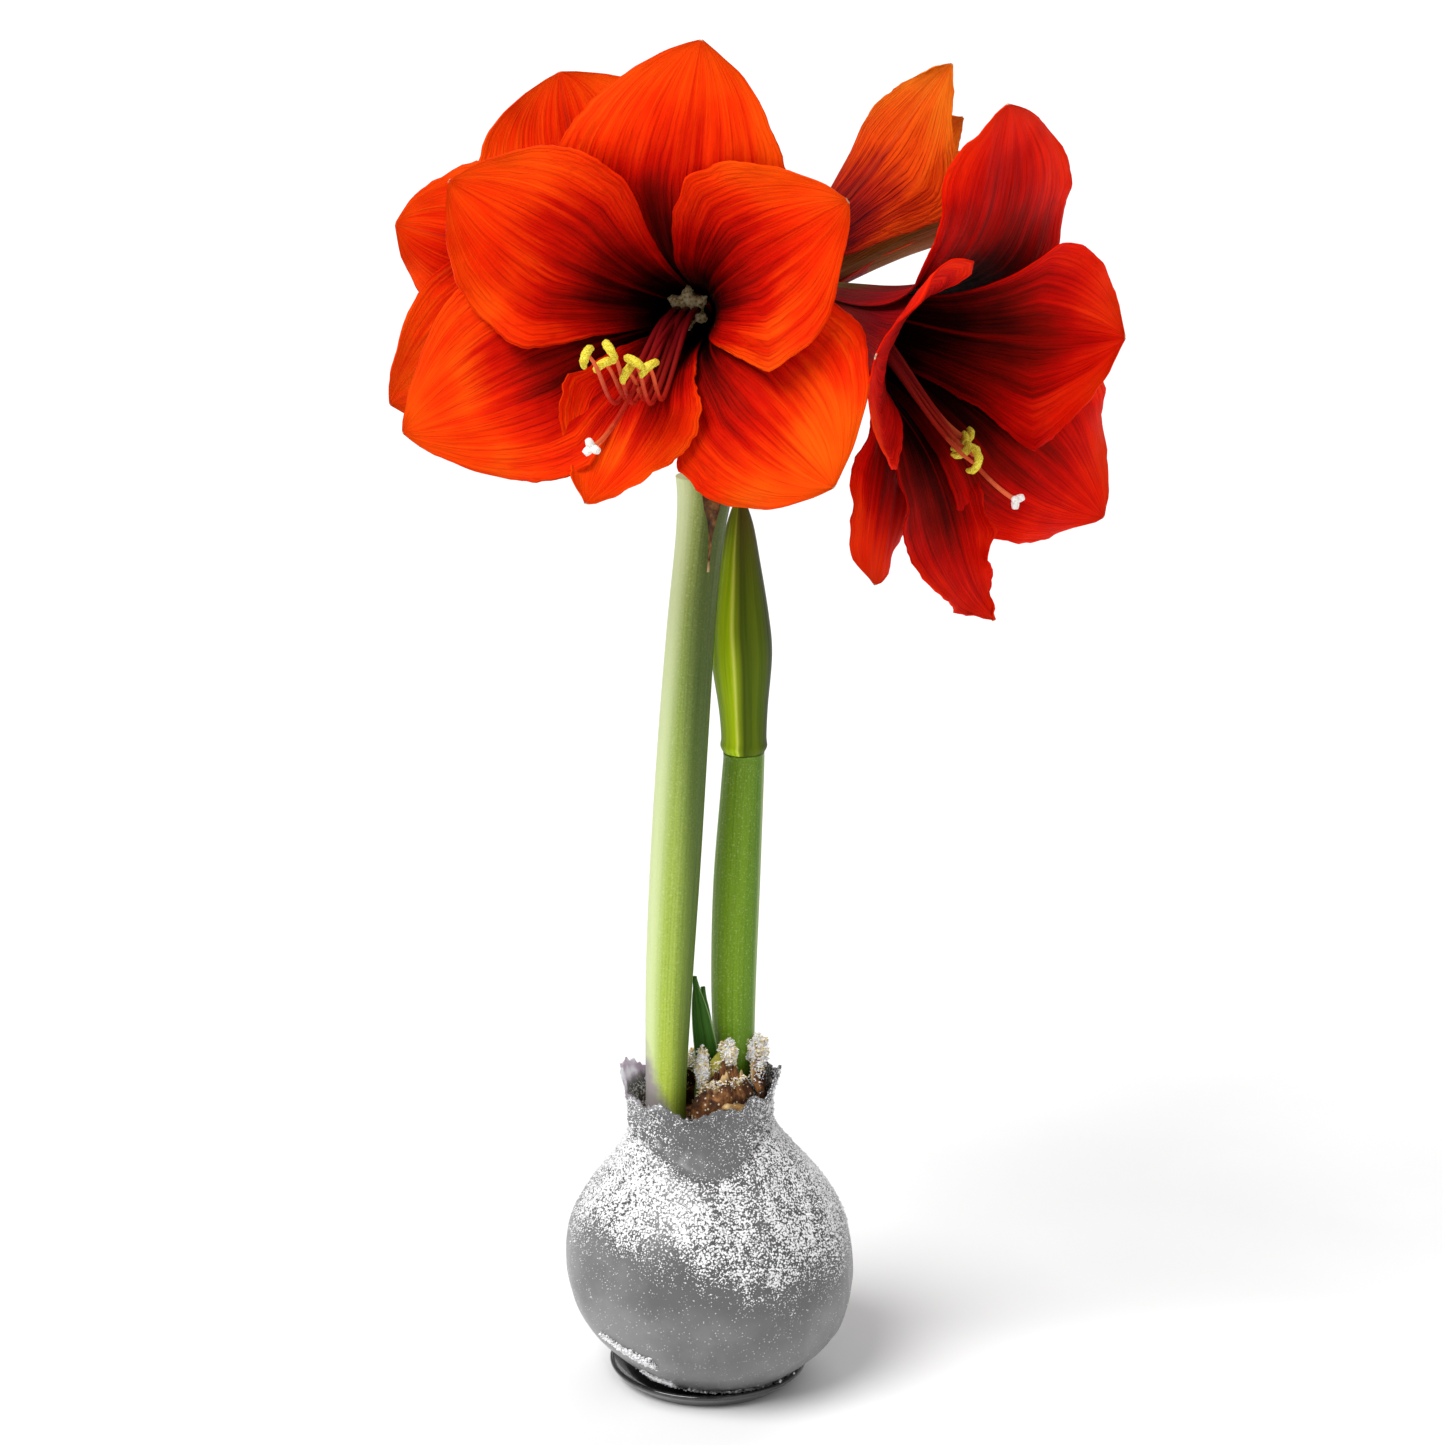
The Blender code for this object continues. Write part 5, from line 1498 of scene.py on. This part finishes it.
def half_width(tepal, part, most):
    """Half width of a tepal: a claw of at most that width, widest past the middle, then a point."""
    rise = 0.30 + 0.70 * sin(min(part / tepal.widest, 1.0) * pi / 2) ** 1.4
    past = max((part - tepal.widest) / (1.0 - tepal.widest), 0.0)
    free = 0.5 * tepal.width * MM * rise * (1.0 - past ** tepal.taper) ** 0.85
    return max(min(free, most), LEAST_HALF_WIDTH)


def petal_surface(bloom, tepal, rows=74, columns=54, root_rows=6):
    """Rows of points and places over a tepal, from the ovary's top to its tip."""
    forward, up, right = bloom_axes(bloom.axis)
    step = tepal.length * MM / rows
    along = TEPAL_ROOT
    out = THROAT_RADIUS + (WHORL_STEP if tepal.outer else 0.0) + TEPAL_ROOT * sin(radians(CUP_SLOPE))
    mouth, spread = radians(tepal.mouth), radians(tepal.spread)

    def tilt_at(part):
        return mouth + (spread - mouth) * smooth_step(part, BEND_FROM, BEND_TO)

    arc = claw_arc(bloom, tepal)
    lift, sense = (0.0, -1.0) if tepal.outer else (WHORL_LIFT, 1.0)
    seed = tepal.angle * 0.37
    points, places = [], []
    first_out = out
    for row in range(-root_rows, rows + 1):
        part = max(row / rows, 0.0)
        tilt = tilt_at(part)
        if row > 0:
            middle_tilt = tilt_at((row - 0.5) / rows)
            along += cos(middle_tilt) * step
            out += sin(middle_tilt) * step
        else:
            rooted = 1.0 + row / root_rows
            along = -CUP_HEEL + (TEPAL_ROOT + CUP_HEEL) * rooted
            out = OVARY_RADIUS * 0.9 + (first_out - OVARY_RADIUS * 0.9) * (1.0 - (1.0 - rooted) ** 1.7)
        turn = radians(tepal.angle + tepal.lean * part * part)
        radial = up * cos(turn) + right * sin(turn)
        across = right * cos(turn) - up * sin(turn)
        face = forward * sin(tilt) - radial * cos(tilt)
        lifted = along + lift * smooth_step(part, 0.15, 0.5)
        middle = millimetres(bloom.base) + forward * lifted + radial * out
        half = half_width(tepal, part, arc * out)
        nest = -0.30 if tepal.outer else 0.12
        curve = cos(tilt) / out * (1.0 + nest * smooth_step(part, 0.08, 0.45))
        waved = tepal.wave * MM * smooth_step(part, 0.4, 0.7) * (1.0 - smooth_step(part, 0.86, 1.0))
        frilled = tepal.frill * MM * smooth_step(part, 0.35, 0.6) * (1.0 - smooth_step(part, 0.93, 1.0))
        grooved = -0.5 * MM * smooth_step(part, 0.12, 0.3) * (1.0 - part) ** 0.6
        line, line_places = [], []
        for column in range(columns + 1):
            side = 2.0 * column / columns - 1.0
            hand = 1 if side > 0 else -1
            wide = half * side * (1.0 + tepal.skew * hand * smooth_step(part, 0.1, 0.5))
            nibble = 0.9 * noise.noise(Vector((part * 13.0, hand * 3.0 + seed, 1.0)))
            nibble += 0.55 * noise.noise(Vector((part * 41.0, hand * 3.0 + seed, 6.0)))
            wide += hand * nibble * tepal.frill * MM * abs(side) ** 6 * smooth_step(part, 0.3, 0.5)
            bend = min(max(curve * wide, -2.6), 2.6)
            ripple = sin(6 * pi * part + 1.9 * hand + tepal.angle)
            wave = waved * abs(side) ** 2.2 * 0.75 * (ripple + sense)
            fine = noise.noise(Vector((part * 15.0, hand * 2.0 + seed, 4.0))) * 1.6
            wave += frilled * abs(side) ** 5 * 0.6 * (fine + sense)
            wave += grooved * bump_at(wide, 0.0, 1.8 * MM)
            quilt = noise.noise(Vector((wide / (7.0 * MM), part * 3.0, seed)))
            pleat = noise.noise(Vector((wide / (2.6 * MM), part * 2.0, seed + 8.0)))
            wave += (0.75 * quilt + 0.30 * pleat) * MM * smooth_step(part, 0.2, 0.5)
            point = middle + across * (sin(bend) / curve) + face * ((1.0 - cos(bend)) / curve + wave)
            line.append(point)
            line_places.append((side, part, seed))
        points.append(line)
        places.append(line_places)
    return points, places


def make_petals(bloom, paints, looks):
    """A bloom's six petals and the floor of its cup."""
    form = new_form()
    for tepal in bloom.tepals:
        points, places = petal_surface(bloom, tepal)
        add_sheet(form, points, places, 2 if len(paints) > 2 and not tepal.outer else 0)
    slot = "orange_petal" if bloom is HALF_OPEN_BLOOM else "red_petal"
    cad_node = f"{bloom.name}_bloom"
    piece = finish_piece(form, f"{bloom.name}_petals", paints, [cad_node], slot, outward=False)
    blade = piece.vertex_groups.new(name="blade")
    places = piece.data.attributes[PLACE_LAYER].data
    for vertex in piece.data.vertices:
        side, part = places[vertex.index].vector[:2]
        thin = 0.65 * smooth_step(abs(side), 0.55, 1.0) + 0.2 * smooth_step(part, 0.6, 1.0)
        blade.add([vertex.index], 1.0 - thin, "REPLACE")
    thicken(piece, looks.petal_thickness, "blade", back_paint=1)
    form = new_form()
    forward, up, right = bloom_axes(bloom.axis)
    place = Matrix.Translation(millimetres(bloom.base)) @ Matrix((right, up, forward)).transposed().to_4x4()
    add_turned(form, [
        (0.0, -CUP_HEEL), (0.8 * OVARY_RADIUS, -CUP_HEEL), (5.6 * MM, 0.6 * MM), (6.5 * MM, 3.0 * MM),
        (6.0 * MM, 3.0 * MM), (5.0 * MM, 1.6 * MM), (0.0, 1.6 * MM),
    ], CUP_COLUMNS, place)
    finish_piece(form, f"{bloom.name}_cup_floor", [paints[0]], [cad_node], slot)


def place_along(bloom, along, down=0.0, side=0.0):
    """A point in a bloom's own axes, in millimetres from the base of its cup."""
    forward, up, right = bloom_axes(bloom.axis)
    return millimetres(bloom.base) + (forward * along - up * down + right * side) * MM


def filament_route(bloom, order, points=36):
    """Centre line of one filament: side by side from the throat, hanging, then fanned and turned up."""
    fan = order - 0.5 * (STAMEN_COUNT - 1)
    length = bloom.reach * (1.0 - 0.035 * order + STAMEN_LENGTHS[order])
    lift = 1.1 if order % 2 else -1.1
    route = []
    for number in range(points + 1):
        part = number / points
        upturn = bloom.upturn * STAMEN_TURNS[order]
        sunk = smooth_step(part, 0.15, bloom.lowest) - upturn * smooth_step(part, 0.70, 1.0)
        down = bloom.droop * sunk - lift * (1.0 - 0.5 * part)
        side = bloom.side * part ** 1.6 + fan * (1.45 + 1.3 * part * part)
        route.append(place_along(bloom, FILAMENT_ROOT + length * part, down, side))
    return route


def style_route(bloom, points=40):
    """Centre line of the style, under the filaments and longer."""
    route = []
    for number in range(points + 1):
        part = number / points
        along = FILAMENT_ROOT + STYLE_SHARE * bloom.reach * part
        down = STYLE_SAG * bloom.droop * smooth_step(part, 0.15, 1.05) + 2.6
        route.append(place_along(bloom, along, down, STYLE_SHARE * bloom.side * part ** 1.6))
    return route


def anther_line(middle, lying, heading, points=18):
    """A bent line through an anther: both ends curl back towards its filament."""
    line = []
    for number in range(points + 1):
        side = 2.0 * number / points - 1.0
        line.append(middle + lying * (ANTHER_HALF * sin(1.5 * side)) - heading * (ANTHER_CURL * side * side))
    return line


def anther_shape(order):
    """The outline of one anther across its length: two-lobed and uneven."""
    def lobed(turn, part):
        uneven = noise.noise(Vector((cos(turn) * 2.0, sin(turn) * 2.0, part * 9.0 + order)))
        return 0.86 + 0.16 * abs(cos(turn)) + 0.24 * uneven

    return lobed


def make_stigma(bloom, tip, heading, paint, cad_node):
    """The three lobes at the style's tip."""
    first = heading.orthogonal().normalized()
    second = heading.cross(first)
    radii = [(0.8 + 0.5 * sin(pi * n / 9)) * MM for n in range(9)]
    form = new_form()
    for lobe in range(3):
        turn = 2 * pi * lobe / 3
        outward = first * cos(turn) + second * sin(turn)
        path = []
        for number in range(9):
            part = number / 8
            path.append(tip + heading * (1.5 * MM * part) + outward * (LOBE_LENGTH * part ** 1.4))
        add_sleeve(form, path, radii, FILAMENT_COLUMNS)
    finish_piece(form, f"{bloom.name}_stigma", [paint], [cad_node], "stamen")


def make_stamens(bloom, paints):
    """Filaments, bent anthers, style with a three-lobed stigma and the star at their feet."""
    filament, pollen, white, star = paints
    up, right = bloom_axes(bloom.axis)[1:]
    cad_node = f"{bloom.name}_stamens"
    red, yellow = new_form(), new_form()
    for order in range(STAMEN_COUNT):
        route = filament_route(bloom, order)
        count = len(route)
        radii = [(FILAMENT_RADIUS - FILAMENT_TAPER * number / count) * MM for number in range(count)]
        add_sleeve(red, route, radii, FILAMENT_COLUMNS)
        heading = (route[-1] - route[-4]).normalized()
        turned = up + right * ANTHER_TURNS[order]
        lying = (turned - heading * heading.dot(turned)).normalized()
        line = anther_line(route[-1] + heading * 1.0 * MM, lying, heading)
        last = len(line) - 1
        rounded = [max(sin(pi * (0.06 + 0.88 * n / last)), 0.1) ** 0.45 for n in range(last + 1)]
        radii = [ANTHER_RADIUS * share for share in rounded]
        add_sleeve(yellow, line, radii, ANTHER_COLUMNS, anther_shape(order))
    route = style_route(bloom)
    add_sleeve(red, route, [STYLE_RADIUS] * len(route), FILAMENT_COLUMNS)
    finish_piece(red, f"{bloom.name}_filaments", [filament], [cad_node], "stamen")
    finish_piece(yellow, f"{bloom.name}_anthers", [pollen], [cad_node], "stamen")
    make_stigma(bloom, route[-1], (route[-1] - route[-4]).normalized(), white, cad_node)
    make_throat_star(bloom, star, cad_node)


def make_throat_star(bloom, paint, cad_node):
    """A ragged six-pointed scale over the filaments' feet, a little above the throat's middle."""
    def pointed(turn, part):
        uneven = noise.noise(Vector((8 * cos(turn), 8 * sin(turn), 2.0)))
        return 1.0 - bump_at(part, 0.5, 0.25) * (0.20 + 0.16 * cos(6 * turn) + 0.10 * uneven)

    forward, up, right = bloom_axes(bloom.axis)
    middle = place_along(bloom, 0.0, -STAR_RAISED)
    place = Matrix.Translation(middle) @ Matrix((right, up, forward)).transposed().to_4x4()
    profile = [(0.0, 1.9), (2.8, 1.9)]
    profile += [(radius, CROWN_STAR_ALONG + height) for radius, height in STAR_DOME]
    fine = [(max(radius, 0.0) * MM, height * MM) for radius, height in curve_through(profile, STAR_STEPS)]
    form = new_form()
    add_turned(form, fine, STAR_COLUMNS, place, pointed)
    finish_piece(form, f"{bloom.name}_throat_star", [paint], [cad_node], "stamen")


def make_pedicel(bloom, paint):
    """The flower stalk from the scape's top, and the three-sided ovary behind the petals."""
    forward = bloom_axes(bloom.axis)[0]
    start = Vector((bloom.foot[0] * MM, bloom.foot[1] * MM, SCAPE_TOP + JOIN_GAP))
    ovary_end = millimetres(bloom.base) - forward * (CUP_HEEL + JOIN_GAP)
    ovary_start = ovary_end - forward * OVARY_LENGTH
    reach = (ovary_start - start).length
    bend_low = start + Vector((0.0, 0.0, reach * 0.55))
    bend_high = ovary_start - forward * reach * 0.2
    lifted = start + Vector((0.0, 0.0, PEDICEL_RISE))
    path, radii = [start], [PEDICEL_RADIUS]
    for number in range(PEDICEL_STEPS):
        t = number / PEDICEL_STEPS
        point = lifted * (1 - t) ** 3 + bend_low * 3 * t * (1 - t) ** 2
        path.append(point + bend_high * 3 * t * t * (1 - t) + ovary_start * t ** 3)
        radii.append(PEDICEL_RADIUS)
    for number in range(OVARY_STEPS + 1):
        part = number / OVARY_STEPS
        path.append(ovary_start.lerp(ovary_end, part))
        radii.append(OVARY_RADIUS * (0.62 + 0.38 * sin(pi * min(part, 0.85) / 1.25) ** 0.8))
    count = len(path)

    def three_sided(turn, part):
        return 1.0 + 0.07 * cos(3 * turn) * smooth_step(part * count, PEDICEL_STEPS, PEDICEL_STEPS + 8.0)

    form = new_form()
    add_sleeve(form, path, radii, PEDICEL_COLUMNS, three_sided)
    finish_piece(form, f"{bloom.name}_stalk", [paint], [f"{bloom.name}_pedicel"], "stalk_green")


def make_stage(looks):
    """The pale floor, the soft lights and the camera."""
    scene = bpy.context.scene
    scene.view_settings.view_transform = "Standard"
    bpy.ops.mesh.primitive_plane_add(size=FLOOR_SIZE, location=(0.0, 0.0, -FLOOR_DROP))
    floor = bpy.context.active_object
    floor.name = "floor"
    floor.data.materials.append(floor_paint(looks))
    for name, place, spread, share in LIGHTS:
        lamp = bpy.data.lights.new(name, "SUN")
        lamp.angle = radians(spread)
        lamp.energy = looks.key_strength * share
        lamp_object = bpy.data.objects.new(name, lamp)
        lamp_object.location = place
        lamp_object.rotation_euler = (-Vector(place)).to_track_quat("-Z", "Y").to_euler()
        scene.collection.objects.link(lamp_object)
    world = scene.world or bpy.data.worlds.new("studio")
    scene.world = world
    world.use_nodes = True
    world.node_tree.nodes["Background"].inputs["Color"].default_value = (1.0, 1.0, 1.0, 1.0)
    world.node_tree.nodes["Background"].inputs["Strength"].default_value = looks.world_light
    camera = bpy.data.cameras.new("camera")
    camera.lens = CAMERA_LENS
    camera.sensor_width = 36.0
    camera_object = bpy.data.objects.new("camera", camera)
    camera_object.location = CAMERA_PLACE
    camera_object.rotation_euler = (CAMERA_TILT, 0.0, 0.0)
    scene.collection.objects.link(camera_object)
    scene.camera = camera_object


def colour_setting(name, description, default):
    """A colour that a user may change."""
    return bpy.props.FloatVectorProperty(
        name=name, description=description, default=default, subtype="COLOR", size=3, min=0.0, max=1.0
    )


class AmaryllisPetalLooks(bpy.types.PropertyGroup):
    """Sizes and colours of the petals and stamens."""

    petal_thickness: bpy.props.FloatProperty(
        name="Petal thickness", description="Thickness of a petal at its rib", default=0.55 * MM,
        unit="LENGTH", precision=5,
    )
    vein_strength: bpy.props.FloatProperty(
        name="Vein strength", description="How dark the petals' veins are", default=0.4,
        min=0.0, max=1.0, subtype="FACTOR",
    )
    # The throat colour is partly the petals' own dark base and partly painted shade deep in the cup.
    petal_throat: colour_setting("Throat", "Colour deep in the throat", (0.016, 0.0004, 0.0006))
    petal_middle: colour_setting("Middle", "Colour half way up a petal", (0.62, 0.005, 0.001))
    petal_bright: colour_setting("Bright", "Colour of the open part of a petal", (0.93, 0.026, 0.001))
    petal_edge: colour_setting("Edge", "Colour at a petal's edge", (0.98, 0.062, 0.002))
    petal_orange: colour_setting("Orange", "Colour of a petal's orange patches", (0.99, 0.115, 0.003))
    half_open_orange: colour_setting("Young petal", "Colour of the half open bloom", (0.92, 0.12, 0.006))
    filament_red: colour_setting("Filament", "Colour of the filaments", (0.20, 0.003, 0.005))
    pollen_yellow: colour_setting("Pollen", "Colour of the anthers", (0.82, 0.68, 0.03))


class AmaryllisStalkLooks(bpy.types.PropertyGroup):
    """Colours of the stalks, the bud and the leaves."""

    main_scape_green: colour_setting("Main scape", "Colour of the tall stalk", (0.27, 0.36, 0.08))
    second_scape_green: colour_setting("Second scape", "Colour of the short stalk", (0.18, 0.32, 0.010))
    # The bud's colours hold painted light on its left face and a painted highlight on its ridge.
    bud_lit_face: colour_setting("Bud", "Colour of the bud's lit side", (0.50, 0.70, 0.006))
    bud_ridge_highlight: colour_setting("Bud ridge", "Colour of the bud's ridge", (0.82, 0.92, 0.14))
    leaf_green: colour_setting("Leaf", "Colour of the young leaves", (0.050, 0.165, 0.012))


class AmaryllisBulbLooks(bpy.types.PropertyGroup):
    """Sizes and colours of the wax, the snow and the dish."""

    wax_grey: colour_setting("Wax", "Colour of the wax", (0.14, 0.14, 0.142))
    snow_white: colour_setting("Snow", "Colour of the snow", (0.89, 0.89, 0.90))
    dish_black: colour_setting("Dish", "Colour of the dish", (0.008, 0.008, 0.009))
    grain_size: bpy.props.FloatProperty(
        name="Grain size", description="Middle size of a snow grain", default=0.58 * MM,
        unit="LENGTH", precision=5,
    )
    grain_count: bpy.props.IntProperty(
        name="Grains", description="How many grains lie on the wax", default=22000, min=0, max=24000,
    )


class AmaryllisStageLooks(bpy.types.PropertyGroup):
    """The studio's light and floor."""

    floor_colour: colour_setting("Floor", "Colour of the floor", (0.90, 0.90, 0.90))
    key_strength: bpy.props.FloatProperty(
        name="Key light", description="Strength of the soft main light", default=3.15, min=0.0,
    )
    world_light: bpy.props.FloatProperty(
        name="Room light", description="Strength of the light from all round", default=0.30, min=0.0,
    )


class AMARYLLIS_OT_foot_dish(bpy.types.Operator):
    """Turn the black dish."""

    bl_idname = "amaryllis.foot_dish"
    bl_label = "Foot Dish"

    def execute(self, context):
        make_foot_dish(context.scene.amaryllis_bulb)
        return {"FINISHED"}


class AMARYLLIS_OT_wax_coat(bpy.types.Operator):
    """Dip the bulb in grey wax."""

    bl_idname = "amaryllis.wax_coat"
    bl_label = "Wax Coat"

    def execute(self, context):
        make_wax_coat(context.scene.amaryllis_bulb)
        return {"FINISHED"}


class AMARYLLIS_OT_bulb(bpy.types.Operator):
    """Shape the bulb and its torn papery scales."""

    bl_idname = "amaryllis.bulb"
    bl_label = "Bulb and Scales"

    def execute(self, context):
        make_bulb()
        return {"FINISHED"}


class AMARYLLIS_OT_snow(bpy.types.Operator):
    """Strew snow on the wax, in the neck and over the dish."""

    bl_idname = "amaryllis.snow"
    bl_label = "Snow"

    def execute(self, context):
        looks = context.scene.amaryllis_bulb
        paint = snow_paint(looks)
        make_snow_on_wax(looks, paint)
        make_neck_snow(paint, crumb_paint())
        make_dish_snow(paint)
        return {"FINISHED"}


class AMARYLLIS_OT_leaf_shoots(bpy.types.Operator):
    """Grow the young leaves between the stalks."""

    bl_idname = "amaryllis.leaf_shoots"
    bl_label = "Leaf Shoots"

    def execute(self, context):
        make_leaf_shoots(context.scene.amaryllis_stalks)
        return {"FINISHED"}


class AMARYLLIS_OT_scapes(bpy.types.Operator):
    """Grow the two flower stalks."""

    bl_idname = "amaryllis.scapes"
    bl_label = "Flower Stalks"

    def execute(self, context):
        make_scapes(context.scene.amaryllis_stalks)
        return {"FINISHED"}


class AMARYLLIS_OT_closed_bud(bpy.types.Operator):
    """Shape the closed bud on the short stalk."""

    bl_idname = "amaryllis.closed_bud"
    bl_label = "Closed Bud"

    def execute(self, context):
        make_closed_bud(context.scene.amaryllis_stalks)
        return {"FINISHED"}


class AMARYLLIS_OT_bracts(bpy.types.Operator):
    """Curl the withered bracts under the blooms."""

    bl_idname = "amaryllis.bracts"
    bl_label = "Withered Bracts"

    def execute(self, context):
        make_withered_bracts()
        return {"FINISHED"}


class AMARYLLIS_OT_petals(bpy.types.Operator):
    """Open the petals of the four blooms."""

    bl_idname = "amaryllis.petals"
    bl_label = "Petals"

    def execute(self, context):
        looks = context.scene.amaryllis_petals
        red, orange = red_petal_paints(looks), orange_petal_paints(looks)
        # Painted shade: the right bloom, turned away from the key light, gets a darker, more crimson copy of
        # the red petals.
        shaded = red_petal_paints(looks, "painted_shade_petal", 0.14)
        paints = {"right": shaded, "half_open": orange}
        for bloom in BLOOMS:
            make_petals(bloom, paints.get(bloom.name, red), looks)
        return {"FINISHED"}


class AMARYLLIS_OT_stamens(bpy.types.Operator):
    """Set the stamens and the style in each throat."""

    bl_idname = "amaryllis.stamens"
    bl_label = "Stamens"

    def execute(self, context):
        looks = context.scene.amaryllis_petals
        paints = [filament_paint(looks), pollen_paint(looks), stigma_paint(), throat_star_paint()]
        for bloom in BLOOMS:
            make_stamens(bloom, paints)
        return {"FINISHED"}


class AMARYLLIS_OT_pedicels(bpy.types.Operator):
    """Join each bloom to the main stalk by its own stalk and ovary."""

    bl_idname = "amaryllis.pedicels"
    bl_label = "Pedicels"

    def execute(self, context):
        stops = [(0.0, (0.26, 0.32, 0.08)), (0.6, (0.16, 0.22, 0.04)), (1.0, (0.14, 0.15, 0.03))]
        # The third value is the colour of the painted shade on one side.
        paint = stalk_paint("pedicel_skin", stops, (0.55, 0.60, 0.40))[0]
        for bloom in BLOOMS:
            make_pedicel(bloom, paint)
        return {"FINISHED"}


class AMARYLLIS_OT_stage(bpy.types.Operator):
    """Set up the floor, the lights and the camera."""

    bl_idname = "amaryllis.stage"
    bl_label = "Stage"

    def execute(self, context):
        make_stage(context.scene.amaryllis_stage)
        return {"FINISHED"}


class AMARYLLIS_PT_panel(bpy.types.Panel):
    """Lists the plant's pieces."""

    bl_idname = "AMARYLLIS_PT_panel"
    bl_label = "Waxed Amaryllis"
    bl_space_type = "VIEW_3D"
    bl_region_type = "UI"
    bl_category = "Amaryllis"

    def draw(self, context):
        for operator in OPERATORS:
            self.layout.operator(operator.bl_idname)


SETTINGS = {
    "amaryllis_petals": AmaryllisPetalLooks,
    "amaryllis_stalks": AmaryllisStalkLooks,
    "amaryllis_bulb": AmaryllisBulbLooks,
    "amaryllis_stage": AmaryllisStageLooks,
}
OPERATORS = [
    AMARYLLIS_OT_foot_dish, AMARYLLIS_OT_wax_coat, AMARYLLIS_OT_bulb, AMARYLLIS_OT_snow,
    AMARYLLIS_OT_leaf_shoots, AMARYLLIS_OT_scapes, AMARYLLIS_OT_closed_bud, AMARYLLIS_OT_bracts,
    AMARYLLIS_OT_petals, AMARYLLIS_OT_stamens, AMARYLLIS_OT_pedicels, AMARYLLIS_OT_stage,
]


def register():
    """Adds the settings, the operators and the panel to Blender."""
    for group in SETTINGS.values():
        bpy.utils.register_class(group)
    for name, group in SETTINGS.items():
        setattr(bpy.types.Scene, name, bpy.props.PointerProperty(type=group))
    for operator in OPERATORS:
        bpy.utils.register_class(operator)
    bpy.utils.register_class(AMARYLLIS_PT_panel)


def unregister():
    """Takes away what register added."""
    bpy.utils.unregister_class(AMARYLLIS_PT_panel)
    for operator in reversed(OPERATORS):
        bpy.utils.unregister_class(operator)
    for name, group in SETTINGS.items():
        delattr(bpy.types.Scene, name)
        bpy.utils.unregister_class(group)


def main():
    """Dresses the part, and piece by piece."""
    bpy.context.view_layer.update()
    register()
    bpy.ops.amaryllis.stage()
    bpy.ops.amaryllis.foot_dish()
    bpy.ops.amaryllis.wax_coat()
    bpy.ops.amaryllis.bulb()
    bpy.ops.amaryllis.snow()
    bpy.ops.amaryllis.leaf_shoots()
    bpy.ops.amaryllis.scapes()
    bpy.ops.amaryllis.closed_bud()
    bpy.ops.amaryllis.bracts()
    bpy.ops.amaryllis.petals()
    bpy.ops.amaryllis.stamens()
    bpy.ops.amaryllis.pedicels()


if __name__ == "__main__":
    main()
